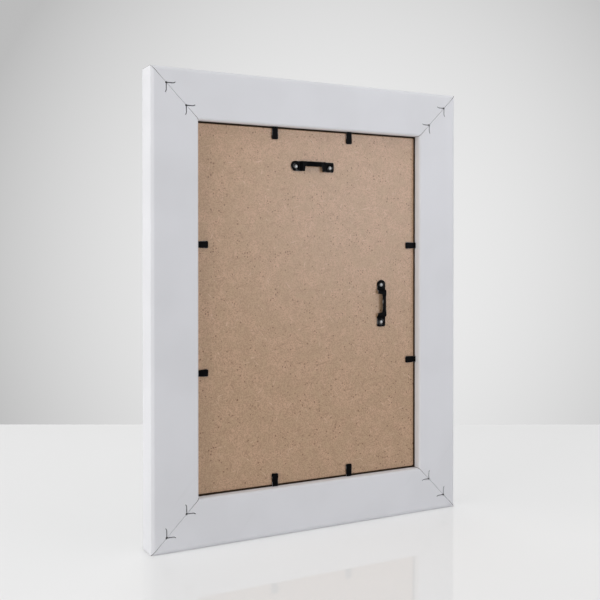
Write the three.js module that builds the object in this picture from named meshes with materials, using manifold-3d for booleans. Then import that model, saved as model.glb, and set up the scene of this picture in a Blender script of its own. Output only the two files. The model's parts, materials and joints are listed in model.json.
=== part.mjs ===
// A mitred plastic picture frame, in millimetres. +Z is up, the glazed front faces -Y, the back faces +Y
// and the frame stands on its bottom edge at Z = 0. Left and right are named as seen from the front.

import * as THREE from 'three';
import { mergeVertices } from 'three/addons/utils/BufferGeometryUtils.js';
import Module from 'manifold-3d';

// Picture that the frame holds
const pictureWidth = 210;
const pictureHeight = 297;

// Rail section
const railBackWidth = 39.5;
const lipWidth = 6;
const lipThickness = 5.7;
const frontFall = 3;
const outerBackRadius = 3;
const outerBevelTilt = THREE.MathUtils.degToRad(30);
const outerBevelDrop = 1.5;
const innerBackRadius = 2.2;
const outerFrontRadius = 2;
const sightRadius = 1.5;
const mitreGap = 0.3;

// Sheets held in the rabbet
const boardRecess = 7.5;
const boardThickness = 3;
const cardThickness = 0.5;
const glazingThickness = 2;
const sheetClearance = 1.5;
const seatGap = 0.1;

// Clearance round a piece that is driven or riveted into another
const fitGap = 0.25;

// Corner nails, bent to a V with a rolled point and driven across each mitre
const nailOuterInset = 12.5;
const nailWallMargin = 3;
const nailLeg = 7.5;
const nailThickness = 0.5;
const nailDepth = 8;
const nailSink = 0.2;
const nailHookRun = 2.2;
const nailHookRise = 1.1;
const nailRollDiameter = 1.5;
const nailRollInset = 0.2;

// Bendable points that hold the board in
const tabSpacingAcross = 72;
const tabSpacingUp = 103;
const tabLength = 10;
const tabRootWidth = 5;
const tabTipWidth = 6;
const tabTipRadius = 1.3;
const tabThickness = 0.6;
const tabSlope = THREE.MathUtils.degToRad(1.5);
const tabWallGap = 0.3;
const tabBoardGap = 0.3;
const shankLength = 10;
const shankPointLength = 3.5;

// Riveted bridge hangers
const portraitHangerInset = 32.4;
const landscapeHangerInset = 37.4;
const rivetSpacing = 33;
const hangerThickness = 0.8;
const footInnerReach = 3.7;
const footOuterReach = 4.8;
const roundEndLength = 4.3;
const roundEndRadius = 3.8;
const squareEndLength = 4.2;
const squareEndRadius = 1.4;
const minimumEndWidth = 0.8;
const strapWidth = 4.2;
const strapTilt = THREE.MathUtils.degToRad(20);
const shoulderRun = 0.9;
const twistRun = 2.6;
const bridgeRaise = 2;
const bendClearance = 0.9;
const bendRun = 1.9;
const raisedFootLength = 1.8;
const collarWidth = 0.9;
const collarHeight = 0.5;
const collarBevel = 0.25;

// Rivets
const rivetShankDiameter = 2.6;
const rivetHeadRim = 0.6;
const rivetHeadHeight = 1;
const rivetTailRim = 1.2;
const rivetTailThickness = 0.6;
const rivetTailInset = 0.2;

// Facets of round stretches
const edgeSegments = 6;
const roundSegments = 24;
const cornerStations = 5;
const hookSegments = 3;

// Sizes that follow from the driving ones
const openingWidth = pictureWidth + 2 * sheetClearance;
const openingHeight = pictureHeight + 2 * sheetClearance;
const outerWidth = openingWidth + 2 * railBackWidth;
const outerHeight = openingHeight + 2 * railBackWidth;
const rabbetDepth = boardRecess + boardThickness + cardThickness + glazingThickness + 3 * seatGap;
const frameDepth = rabbetDepth + lipThickness + frontFall;
const backFace = frameDepth / 2;
const frontFace = -frameDepth / 2;
const boardBack = backFace - boardRecess;
const boardFront = boardBack - boardThickness;
const cardBack = boardFront - seatGap;
const cardFront = cardBack - cardThickness;
const glazingBack = cardFront - seatGap;
const glazingFront = glazingBack - glazingThickness;
const rabbetFloor = backFace - rabbetDepth;
const nailInnerInset = railBackWidth - nailLeg - nailWallMargin;
const tabAxisHeight = boardBack + tabBoardGap + tabThickness / 2 + tabLength * Math.sin(tabSlope);
const rivetHeadRadius = rivetShankDiameter / 2 + rivetHeadRim;
const rivetTailRadius = rivetShankDiameter / 2 + rivetTailRim;
const rivetTailSeat = rivetTailInset + rivetTailThickness + seatGap;
const collarInnerRadius = rivetHeadRadius + fitGap;
const collarOuterRadius = collarInnerRadius + collarWidth;
const strapLow = footOuterReach - strapWidth;

// Each side's own frame has x inward, y to the back and z along the rail; turn swings it about Y.
// ends names the low and high end along z, and corner is the one at the low end.
const sides = [
  {
    name: 'left', turn: 0, corner: 'bottom_left', ends: ['lower', 'upper'],
    half: outerWidth / 2, length: outerHeight, tabSpacing: tabSpacingUp,
  },
  {
    name: 'top', turn: Math.PI / 2, corner: 'top_left', ends: ['left', 'right'],
    half: outerHeight / 2, length: outerWidth, tabSpacing: tabSpacingAcross,
  },
  {
    name: 'right', turn: Math.PI, corner: 'top_right', ends: ['upper', 'lower'],
    half: outerWidth / 2, length: outerHeight, tabSpacing: tabSpacingUp,
  },
  {
    name: 'bottom', turn: -Math.PI / 2, corner: 'bottom_right', ends: ['right', 'left'],
    half: outerHeight / 2, length: outerWidth, tabSpacing: tabSpacingAcross,
  },
];

// One hanger for each way of hanging: x and z place the middle of its rivet line.
const hangers = [
  { name: 'portrait', turn: 0, x: 0, z: outerHeight - railBackWidth - portraitHangerInset },
  { name: 'landscape', turn: -Math.PI / 2, x: landscapeHangerInset - openingWidth / 2, z: outerHeight / 2 },
];
const rivetEnds = [
  { name: 'square', x: -rivetSpacing / 2 },
  { name: 'round', x: rivetSpacing / 2 },
];

const finishes = {
  whitePlastic: { color: 0xe6e6ea, roughness: 0.45, metalness: 0 },
  nailSteel: { color: 0x4a4a4e, roughness: 0.5, metalness: 0.8 },
  blackSteel: { color: 0x17171a, roughness: 0.4, metalness: 0.5 },
  brightSteel: { color: 0xd9dadb, roughness: 0.25, metalness: 1 },
  hardboard: { color: 0xa68a72, roughness: 0.85, metalness: 0 },
  card: { color: 0xf2efe8, roughness: 0.9, metalness: 0 },
  clearGlass: { color: 0xdfe8e8, roughness: 0.05, metalness: 0 },
};

const wasm = await Module();
wasm.setup();

// Solid of a closed geometry, with its shared corners merged, ready to be cut or joined.
function solidOf(geometry) {
  const bare = geometry.clone();
  bare.deleteAttribute('normal');
  bare.deleteAttribute('uv');
  const merged = mergeVertices(bare);
  const mesh = new wasm.Mesh({
    numProp: 3,
    vertProperties: merged.attributes.position.array,
    triVerts: new Uint32Array(merged.index.array),
  });
  return new wasm.Manifold(mesh);
}

function geometryOf(solid) {
  const mesh = solid.getMesh();
  const geometry = new THREE.BufferGeometry();
  geometry.setAttribute('position', new THREE.BufferAttribute(mesh.vertProperties, 3));
  geometry.setIndex(new THREE.BufferAttribute(mesh.triVerts, 1));
  geometry.computeVertexNormals();
  return geometry;
}

function join(geometries) {
  const solids = geometries.map(solidOf);
  return geometryOf(solids.reduce((whole, piece) => whole.add(piece)));
}

function cut(geometry, cutters) {
  const solids = cutters.map(solidOf);
  return geometryOf(solids.reduce((rest, cutter) => rest.subtract(cutter), solidOf(geometry)));
}

function part(name, geometry, finish) {
  const mesh = new THREE.Mesh(geometry, new THREE.MeshStandardMaterial(finish));
  mesh.name = name;
  return mesh;
}

// Flat plate with its outline in x and z, reaching from y = low to y = high.
function plate(outline, low, high) {
  const settings = { depth: high - low, bevelEnabled: false, curveSegments: edgeSegments };
  const geometry = new THREE.ExtrudeGeometry(outline, settings);
  geometry.rotateX(Math.PI / 2);
  geometry.translate(0, high, 0);
  return geometry;
}

// Round bar along y.
function barAlongY(diameter, low, high) {
  const geometry = new THREE.CylinderGeometry(diameter / 2, diameter / 2, high - low, roundSegments);
  geometry.translate(0, (low + high) / 2, 0);
  return geometry;
}

// Outline of a band of even width along a bent line, with mitred bends.
function bandShape(path, width) {
  const normals = path.slice(1).map((point, index) => {
    const along = point.clone().sub(path[index]).normalize();
    return new THREE.Vector2(-along.y, along.x);
  });
  const offsets = path.map((point, index) => {
    const before = normals[Math.max(index - 1, 0)];
    const after = normals[Math.min(index, normals.length - 1)];
    const mitre = before.clone().add(after);
    return mitre.multiplyScalar(width / 2 / (1 + before.dot(after)));
  });
  const onLeft = path.map((point, index) => point.clone().add(offsets[index]));
  const onRight = path.map((point, index) => point.clone().sub(offsets[index]));
  return new THREE.Shape([...onLeft, ...onRight.reverse()]);
}

// Rail section, with x from the outer side to the sight edge and y to the back.
function railSection() {
  const sightEdge = railBackWidth + lipWidth;
  const sightFront = frontFace + frontFall;
  const softSight = Math.min(sightRadius, lipThickness / 2);
  const roundRun = outerBackRadius * Math.sin(outerBevelTilt);
  const roundDrop = outerBackRadius * (1 - Math.cos(outerBevelTilt));
  const flatStart = roundRun + (outerBevelDrop - roundDrop) / Math.tan(outerBevelTilt);
  const quarter = Math.PI / 2;
  const section = new THREE.Shape();
  section.moveTo(outerFrontRadius, frontFace);
  section.lineTo(sightEdge - softSight, sightFront);
  section.absarc(sightEdge - softSight, sightFront + softSight, softSight, -quarter, 0);
  section.lineTo(sightEdge, rabbetFloor);
  section.lineTo(railBackWidth, rabbetFloor);
  section.lineTo(railBackWidth, backFace - innerBackRadius);
  section.absarc(railBackWidth - innerBackRadius, backFace - innerBackRadius, innerBackRadius, 0, quarter);
  section.lineTo(flatStart, backFace);
  section.absarc(flatStart, backFace - outerBackRadius, outerBackRadius, quarter, quarter + outerBevelTilt);
  section.lineTo(0, backFace - outerBevelDrop);
  section.lineTo(0, frontFace + outerFrontRadius);
  section.absarc(outerFrontRadius, frontFace + outerFrontRadius, outerFrontRadius, 2 * quarter, 3 * quarter);
  return section;
}

// Rail blank with both ends cut at 45 degrees, each set back by half the mitre gap.
function railBlank(side) {
  const settings = { depth: 1, bevelEnabled: false, curveSegments: edgeSegments };
  const geometry = new THREE.ExtrudeGeometry(railSection(), settings);
  const position = geometry.attributes.position;
  for (let index = 0; index < position.count; index += 1) {
    const reach = side.length / 2 - position.getX(index) - mitreGap / Math.SQRT2;
    position.setZ(index, position.getZ(index) > 0 ? reach : -reach);
  }
  geometry.translate(-side.half, 0, 0);
  return geometry;
}

// V of the corner nail with its point at the origin, its legs along x and z and their ends curved outward.
function nailShape(grow) {
  const hookStart = nailLeg - nailHookRun;
  const hook = Array.from({ length: hookSegments + 1 }, (_, index) => {
    const run = ((nailHookRun + grow) * index) / hookSegments;
    return new THREE.Vector2(hookStart + run, -nailHookRise * (run / nailHookRun) ** 2);
  });
  const alongZ = hook.map((point) => new THREE.Vector2(point.y, point.x));
  const path = [...hook.toReversed(), new THREE.Vector2(0, 0), ...alongZ];
  return bandShape(path, nailThickness + 2 * grow);
}

// Corner nail, or its slot when grown: the V from y = low to y = high and its shorter rolled point.
function nailPieces(grow, low, high) {
  const roll = barAlongY(nailRollDiameter + 2 * grow, low + nailRollInset, high - nailRollInset);
  return [plate(nailShape(grow), low, high), roll];
}

// Slots for the corner nails at both ends of a rail, open at the back.
function nailSlots(side) {
  const bottom = backFace - nailSink - nailDepth - fitGap;
  const top = backFace + fitGap + nailRollInset;
  return [nailOuterInset, nailInnerInset].flatMap((inset) => {
    const lowEnd = nailPieces(fitGap, bottom, top);
    const highEnd = nailPieces(fitGap, bottom, top).map((piece) => piece.rotateY(Math.PI / 2));
    lowEnd.forEach((piece) => piece.translate(inset - side.half, 0, inset - side.length / 2));
    highEnd.forEach((piece) => piece.translate(inset - side.half, 0, side.length / 2 - inset));
    return [...lowEnd, ...highEnd];
  });
}

// Pointed shank of a bendable point, driven outward from the rabbet wall at x = 0.
function shankShape(grow, reach) {
  const half = tabRootWidth / 2 + grow;
  const shoulder = shankPointLength - shankLength;
  const outline = [
    new THREE.Vector2(reach, -half),
    new THREE.Vector2(reach, half),
    new THREE.Vector2(shoulder, half),
    new THREE.Vector2(-shankLength - grow, 0),
    new THREE.Vector2(shoulder, -half),
  ];
  return new THREE.Shape(outline);
}

function tabPlaces(side) {
  return [-side.tabSpacing / 2, side.tabSpacing / 2];
}

function shankSlots(side) {
  const half = tabThickness / 2 + fitGap;
  return tabPlaces(side).map((along) => {
    const slot = plate(shankShape(fitGap, fitGap), tabAxisHeight - half, tabAxisHeight + half);
    return slot.translate(railBackWidth - side.half, 0, along);
  });
}

// Tab of a bendable point: it starts at its bend, widens to the tip and has round corners there.
function tabGeometry() {
  const straight = tabLength - tabTipRadius;
  const inner = tabTipWidth / 2 - tabTipRadius;
  const outline = new THREE.Shape();
  outline.moveTo(0, -tabRootWidth / 2);
  outline.lineTo(straight, -tabTipWidth / 2);
  outline.absarc(straight, -inner, tabTipRadius, -Math.PI / 2, 0);
  outline.absarc(straight, inner, tabTipRadius, 0, Math.PI / 2);
  outline.lineTo(0, tabRootWidth / 2);
  const blade = plate(outline, -tabThickness / 2, tabThickness / 2);
  const bend = barAlongY(tabThickness, -tabRootWidth / 2, tabRootWidth / 2).rotateX(Math.PI / 2);
  return join([blade, bend]);
}

function sideGroup(side) {
  const group = new THREE.Group();
  group.position.z = outerHeight / 2;
  group.rotation.y = side.turn;
  const rail = cut(railBlank(side), [...nailSlots(side), ...shankSlots(side)]);
  group.add(part(`rail_${side.name}`, rail, finishes.whitePlastic));

  const nailTop = backFace - nailSink;
  const nails = [['outer', nailOuterInset], ['inner', nailInnerInset]];
  nails.forEach(([name, inset]) => {
    const nail = join(nailPieces(0, nailTop - nailDepth, nailTop));
    const mesh = part(`corner_nail_${side.corner}_${name}`, nail, finishes.nailSteel);
    mesh.position.set(inset - side.half, 0, inset - side.length / 2);
    group.add(mesh);
  });

  const wall = railBackWidth - side.half;
  tabPlaces(side).forEach((along, index) => {
    const place = `${side.name}_${side.ends[index]}`;
    const shankPlate = plate(shankShape(0, 0), -tabThickness / 2, tabThickness / 2);
    const shank = part(`shank_${place}`, shankPlate, finishes.blackSteel);
    shank.position.set(wall, tabAxisHeight, along);
    const tab = part(`tab_${place}`, tabGeometry(), finishes.blackSteel);
    tab.position.set(wall + tabWallGap + tabThickness / 2, tabAxisHeight, along);
    tab.rotation.z = -tabSlope;
    group.add(shank, tab);
  });
  return group;
}

// Half width of a strip near its end, where its corners are round.
function roundedHalf(fromEnd, half, radius) {
  const left = Math.max(radius - fromEnd, 0);
  return half - radius + Math.sqrt(radius * radius - left * left);
}

// Cross-sections of the hanger along x, from its square end to its round end. low and high are its
// edges in z, rise is its height over the board and slope is the tilt of the strap.
function hangerStations() {
  const low = -footInnerReach;
  const high = footOuterReach;
  const middle = (low + high) / 2;
  const rivet = rivetSpacing / 2;
  const bendStart = rivet - collarOuterRadius - bendClearance;
  const bendEnd = bendStart - bendRun;
  const footEnd = bendEnd - raisedFootLength;
  const strapStart = footEnd - shoulderRun;
  const turns = Array.from({ length: cornerStations + 1 }, (_, index) => index / cornerStations);
  const endCorner = (sign, length, wantedRadius) => turns.map((turn) => {
    const radius = Math.min(wantedRadius, (high - low - minimumEndWidth) / 2);
    const fromEnd = radius * (1 - Math.cos((turn * Math.PI) / 2));
    const half = roundedHalf(fromEnd, (high - low) / 2, radius);
    const x = sign * (rivet + length - fromEnd);
    return { x, low: middle - half, high: middle + half, rise: 0, slope: 0 };
  });
  const inner = (sign) => {
    const slope = Math.tan(strapTilt);
    return [
      { x: sign * bendStart, low, high, rise: 0, slope: 0 },
      { x: sign * bendEnd, low, high, rise: bridgeRaise, slope: 0 },
      { x: sign * footEnd, low, high, rise: bridgeRaise, slope: 0 },
      { x: sign * strapStart, low: strapLow, high, rise: bridgeRaise, slope: 0 },
      { x: sign * (strapStart - twistRun), low: strapLow, high, rise: bridgeRaise, slope },
    ];
  };
  return [
    ...endCorner(-1, squareEndLength, squareEndRadius),
    ...inner(-1),
    ...inner(1).reverse(),
    ...endCorner(1, roundEndLength, roundEndRadius).reverse(),
  ];
}

// Closed sheet through the hanger's cross-sections.
function hangerSheet() {
  const stations = hangerStations();
  const middle = (strapLow + footOuterReach) / 2;
  const points = stations.flatMap(({ x, low, high, rise, slope }) => {
    const under = (z) => rise + slope * (middle - z);
    return [
      [x, under(low), low],
      [x, under(high), high],
      [x, under(high) + hangerThickness, high],
      [x, under(low) + hangerThickness, low],
    ];
  });
  const last = points.length - 4;
  const triangles = [[0, 1, 2], [0, 2, 3], [last, last + 2, last + 1], [last, last + 3, last + 2]];
  for (let start = 0; start < last; start += 4) {
    for (let edge = 0; edge < 4; edge += 1) {
      const here = start + edge;
      const next = start + ((edge + 1) % 4);
      triangles.push([here, here + 4, next + 4], [here, next + 4, next]);
    }
  }
  const geometry = new THREE.BufferGeometry();
  geometry.setAttribute('position', new THREE.Float32BufferAttribute(points.flat(), 3));
  geometry.setIndex(triangles.flat());
  return geometry;
}

// Raised collar pressed up round a rivet's head, its foot sunk into the sheet.
function collar() {
  const foot = hangerThickness / 2;
  const top = hangerThickness + collarHeight;
  const profile = [
    new THREE.Vector2(collarInnerRadius, foot),
    new THREE.Vector2(collarOuterRadius, foot),
    new THREE.Vector2(collarOuterRadius, hangerThickness),
    new THREE.Vector2(collarOuterRadius - collarBevel, top),
    new THREE.Vector2(collarInnerRadius + collarBevel, top),
    new THREE.Vector2(collarInnerRadius, foot),
  ];
  return new THREE.LatheGeometry(profile, roundSegments);
}

function hangerGeometry() {
  const collars = rivetEnds.map((end) => collar().translate(end.x, 0, 0));
  const hole = rivetShankDiameter + 2 * fitGap;
  const holes = rivetEnds.map((end) => {
    const bar = barAlongY(hole, -fitGap, hangerThickness + fitGap);
    return bar.translate(end.x, 0, 0);
  });
  return cut(join([hangerSheet(), ...collars]), holes);
}

// Rivet with a domed head over the hanger and a flat tail in the board; y = 0 is the hanger's underside.
function rivetGeometry() {
  const tailLow = rivetTailInset - boardThickness - seatGap;
  const tailHigh = tailLow + rivetTailThickness;
  const headLow = hangerThickness + seatGap;
  const dome = Array.from({ length: edgeSegments + 1 }, (_, index) => {
    const angle = (index / edgeSegments) * (Math.PI / 2);
    return new THREE.Vector2(rivetHeadRadius * Math.cos(angle), headLow + rivetHeadHeight * Math.sin(angle));
  });
  dome[edgeSegments].x = 0;
  const profile = [
    new THREE.Vector2(0, tailLow),
    new THREE.Vector2(rivetTailRadius, tailLow),
    new THREE.Vector2(rivetTailRadius, tailHigh),
    new THREE.Vector2(rivetShankDiameter / 2, tailHigh),
    new THREE.Vector2(rivetShankDiameter / 2, headLow),
    ...dome,
  ];
  return new THREE.LatheGeometry(profile, roundSegments);
}

function hangerGroup(hanger) {
  const group = new THREE.Group();
  group.position.set(hanger.x, boardBack + seatGap, hanger.z);
  group.rotation.y = hanger.turn;
  group.add(part(`hanger_${hanger.name}`, hangerGeometry(), finishes.blackSteel));
  rivetEnds.forEach((end) => {
    const rivet = part(`rivet_${hanger.name}_${end.name}`, rivetGeometry(), finishes.brightSteel);
    rivet.position.x = end.x;
    group.add(rivet);
  });
  return group;
}

// Sheet of the picture's size, standing in the middle of the opening.
function sheet(front, back) {
  const geometry = new THREE.BoxGeometry(pictureWidth, back - front, pictureHeight);
  return geometry.translate(0, (front + back) / 2, outerHeight / 2);
}

// Backing board with a stepped hole for each rivet.
function boardGeometry() {
  const rivetHoles = hangers.flatMap((hanger) => rivetEnds.flatMap((end) => {
    const shank = barAlongY(rivetShankDiameter + 2 * fitGap, boardFront - fitGap, boardBack + fitGap);
    const tail = barAlongY(2 * (rivetTailRadius + fitGap), boardFront - fitGap, boardFront + rivetTailSeat);
    const place = new THREE.Vector3(end.x, 0, 0).applyAxisAngle(new THREE.Vector3(0, 1, 0), hanger.turn);
    return [shank, tail].map((bar) => bar.translate(hanger.x + place.x, 0, hanger.z + place.z));
  }));
  return cut(sheet(boardFront, boardBack), rivetHoles);
}

const pictureFrame = new THREE.Group();
pictureFrame.add(...sides.map(sideGroup));
pictureFrame.add(part('glazing', sheet(glazingFront, glazingBack), finishes.clearGlass));
pictureFrame.add(part('picture_card', sheet(cardFront, cardBack), finishes.card));
pictureFrame.add(part('backing_board', boardGeometry(), finishes.hardboard));
pictureFrame.add(...hangers.map(hangerGroup));

export default pictureFrame;
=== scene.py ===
"""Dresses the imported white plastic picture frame: fine surfaces, finishes, studio and camera.

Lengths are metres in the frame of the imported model: +Z is up, +Y points to the back of the picture frame and
the origin is in the middle of the bottom edge. Left and right are named as seen from the glazed front.
"""

import json
import logging
import math
from dataclasses import dataclass, field
from enum import Enum
from typing import Any, NamedTuple

import bpy
import numpy as np
from mathutils import Euler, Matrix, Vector

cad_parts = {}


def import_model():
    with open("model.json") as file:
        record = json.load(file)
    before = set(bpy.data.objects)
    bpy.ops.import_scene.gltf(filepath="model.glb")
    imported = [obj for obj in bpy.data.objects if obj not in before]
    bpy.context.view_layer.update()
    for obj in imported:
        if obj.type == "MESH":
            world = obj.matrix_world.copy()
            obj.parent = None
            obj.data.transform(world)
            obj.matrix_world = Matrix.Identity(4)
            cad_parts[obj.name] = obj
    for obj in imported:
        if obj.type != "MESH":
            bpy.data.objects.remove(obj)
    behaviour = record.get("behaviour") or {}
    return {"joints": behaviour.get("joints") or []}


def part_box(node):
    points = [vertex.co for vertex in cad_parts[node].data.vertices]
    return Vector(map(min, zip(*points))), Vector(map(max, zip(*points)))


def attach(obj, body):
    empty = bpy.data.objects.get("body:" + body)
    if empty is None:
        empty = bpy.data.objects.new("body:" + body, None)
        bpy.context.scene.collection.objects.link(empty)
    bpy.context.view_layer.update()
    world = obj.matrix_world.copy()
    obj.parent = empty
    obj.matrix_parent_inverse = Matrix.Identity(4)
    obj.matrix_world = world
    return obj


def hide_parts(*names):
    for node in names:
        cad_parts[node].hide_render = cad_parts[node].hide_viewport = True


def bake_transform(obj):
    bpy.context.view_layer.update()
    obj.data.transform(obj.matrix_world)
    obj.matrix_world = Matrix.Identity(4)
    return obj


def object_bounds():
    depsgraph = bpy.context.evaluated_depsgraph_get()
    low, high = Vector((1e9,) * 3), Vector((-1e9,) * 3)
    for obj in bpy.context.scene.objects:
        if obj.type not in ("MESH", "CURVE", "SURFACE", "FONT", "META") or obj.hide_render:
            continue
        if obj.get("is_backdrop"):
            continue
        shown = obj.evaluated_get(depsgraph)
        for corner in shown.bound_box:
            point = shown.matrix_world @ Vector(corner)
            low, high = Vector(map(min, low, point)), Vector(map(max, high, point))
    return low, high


Colour = tuple[float, float, float]
Place = tuple[float, float, float]
Span = tuple[float, float]
Socket = bpy.types.NodeSocket
Outputs = bpy.types.NodeOutputs
Inputs = bpy.types.NodeInputs
Value = float | Socket
Tint = Colour | Socket

LOG = logging.getLogger("picture_frame")
MM = 0.001
FRAME_BODY = "frame"
SHARP_ANGLE = math.radians(35)
TO_BACK = np.array([0.0, 1.0, 0.0])
NOISE_SPAN: Span = (0.3, 0.7)
WHITE: Colour = (1.0, 1.0, 1.0)


def add_object(name: str, data: bpy.types.ID) -> bpy.types.Object:
    """Puts a mesh, lamp or camera into the scene.

    Args:
        name: Name of the object.
        data: The mesh, lamp or camera.

    Returns:
        The object, at the origin.
    """
    made = bpy.data.objects.new(name, data)
    bpy.context.scene.collection.objects.link(made)
    return made


def soften(mesh: bpy.types.Mesh) -> None:
    """Shades a mesh smooth but for its sharp edges."""
    mesh.shade_smooth()
    mesh.set_sharp_from_angle(angle=SHARP_ANGLE)


@dataclass
class Surface:
    """A closed surface as arrays.

    Attributes:
        points: One row for each point.
        corners: Point numbers of the faces, one face after another.
        sizes: Number of corners of each face.
        edge: Nearness of each point to a sheared edge, and on some pieces the strength of painted shade and
            grime, from 0 to 1.
    """

    points: np.ndarray
    corners: np.ndarray
    sizes: np.ndarray
    edge: np.ndarray

    @classmethod
    def from_rings(cls, rings: np.ndarray, edge: np.ndarray | None = None, loop: bool = False) -> "Surface":
        """Joins rings of points into one closed surface.

        Each ring closes on itself. A quad takes two neighbours of a ring and the same two of the next ring.
        The first and last rings get flat caps or, in a loop, meet each other.

        Args:
            rings: Points as an array of rings, points of a ring, and x, y, z.
            edge: Nearness to an edge for each point of a ring.
            loop: Whether the last ring joins the first.

        Returns:
            The surface with its faces pointing outward.
        """
        count, around = rings.shape[:2]
        numbers = np.arange(count * around).reshape(count, around)
        here = numbers if loop else numbers[:-1]
        ahead = np.roll(numbers, -1, axis=0) if loop else numbers[1:]
        quads = np.stack([here, np.roll(here, -1, axis=1), np.roll(ahead, -1, axis=1), ahead], axis=-1)
        caps = [] if loop else [numbers[0][::-1], numbers[-1]]
        corners = np.concatenate([quads.ravel(), *caps])
        sizes = np.array([4] * (quads.size // 4) + [around] * len(caps))
        along_ring = np.zeros(around) if edge is None else edge
        surface = cls(rings.reshape(-1, 3), corners, sizes, np.tile(along_ring, count))
        return surface.outward()

    @classmethod
    def joined(cls, surfaces: list["Surface"]) -> "Surface":
        """Puts several closed surfaces into one, each with its point numbers shifted past those before it.

        Args:
            surfaces: The surfaces.

        Returns:
            One surface with all their points and faces.
        """
        starts = np.cumsum([0] + [len(surface.points) for surface in surfaces[:-1]])
        return cls(
            np.concatenate([surface.points for surface in surfaces]),
            np.concatenate([surface.corners + start for surface, start in zip(surfaces, starts)]),
            np.concatenate([surface.sizes for surface in surfaces]),
            np.concatenate([surface.edge for surface in surfaces]),
        )

    def outward(self) -> "Surface":
        """Turns all faces round if the volume that they enclose comes out negative.

        The volume is a sixth of the sum, over every face, of its first point dotted with the cross products
        of its neighbouring points.

        Returns:
            The surface with its faces pointing outward.
        """
        starts = np.cumsum(self.sizes) - self.sizes
        following = np.arange(len(self.corners)) + 1
        following[starts + self.sizes - 1] = starts
        first = np.repeat(self.points[self.corners[starts]], self.sizes, axis=0)
        spans = np.cross(self.points[self.corners], self.points[self.corners[following]])
        if np.sum(first * spans) >= 0:
            return self
        return Surface(self.points, self.corners[::-1], self.sizes[::-1], self.edge)

    def placed(self, origin: np.ndarray, axes: np.ndarray) -> "Surface":
        """Moves the surface into a frame given by its origin and its three axes as rows."""
        return Surface(self.points @ axes + origin, self.corners, self.sizes, self.edge)

    def as_object(self, name: str) -> bpy.types.Object:
        """Makes a Blender object of the surface, smooth but for its sharp edges.

        Args:
            name: Name of the object and its mesh.

        Returns:
            The object, at the origin and in the scene.
        """
        mesh = bpy.data.meshes.new(name)
        mesh.vertices.add(len(self.points))
        mesh.vertices.foreach_set("co", self.points.astype(np.float32).ravel())
        mesh.loops.add(len(self.corners))
        mesh.loops.foreach_set("vertex_index", self.corners.astype(np.int32))
        mesh.polygons.add(len(self.sizes))
        starts = np.cumsum(self.sizes) - self.sizes
        mesh.polygons.foreach_set("loop_start", starts.astype(np.int32))
        mesh.update(calc_edges=True)
        values = mesh.attributes.new("edge", "FLOAT", "POINT")
        values.data.foreach_set("value", self.edge.astype(np.float32))
        soften(mesh)
        return add_object(name, mesh)


class Spot(NamedTuple):
    """Where a repeated piece sits: its name, its origin and its three axes as rows."""

    name: str
    origin: np.ndarray
    axes: np.ndarray

    def carry(self, shape: Surface) -> Surface:
        """Moves a shape to the spot."""
        return shape.placed(self.origin, self.axes)


def arc(centre: tuple[float, float], radius: float, start: float, end: float, steps: int) -> np.ndarray:
    """Gives points of a circle's arc: the centre plus the radius times (cosine, sine) of even angles.

    Args:
        centre: Middle of the circle.
        radius: Its radius.
        start: First angle in degrees.
        end: Last angle in degrees.
        steps: Number of chords.

    Returns:
        One row of two coordinates for each point.
    """
    angles = np.radians(np.linspace(start, end, steps + 1))
    return np.array(centre) + radius * np.stack([np.cos(angles), np.sin(angles)], axis=-1)


def quarter_turn(steps: int) -> np.ndarray:
    """Gives even angles from 0 to 90 degrees, in radians."""
    return np.radians(np.linspace(0, 90, steps + 1))


def with_support(outline: np.ndarray, gap: float) -> np.ndarray:
    """Adds two points to every stretch over four gaps long, one gap from its ends, to keep flats flat.

    Args:
        outline: Points of a closed outline.
        gap: Distance of the added points from the ends of a stretch.

    Returns:
        The outline with the added points.
    """
    stretch = np.roll(outline, -1, axis=0) - outline
    length = np.linalg.norm(stretch, axis=1, keepdims=True)
    step = stretch / length * gap
    triples = np.stack([outline, outline + step, outline + stretch - step], axis=1)
    keep = np.ones(triples.shape[:2], bool)
    keep[:, 1:] = length > 4 * gap
    return triples[keep]


def smooth(value: np.ndarray, start: float, end: float) -> np.ndarray:
    """Rises from 0 at start to 1 at end along three t squared minus two t cubed."""
    t = np.clip((value - start) / (end - start), 0, 1)
    return t * t * (3 - 2 * t)


def turned(profile: np.ndarray, segments: int) -> Surface:
    """Turns a profile about the y axis: radius times (cosine, sine) in x and z at the profile's height.

    Args:
        profile: Rows of radius and height; the first and last rows get flat caps.
        segments: Number of points around.

    Returns:
        The turned surface.
    """
    angles = np.linspace(0, 2 * math.pi, segments, endpoint=False)
    radius = profile[:, :1]
    height = np.broadcast_to(profile[:, 1:], (len(profile), segments))
    return Surface.from_rings(np.stack([radius * np.cos(angles), height, radius * np.sin(angles)], axis=-1))


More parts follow.
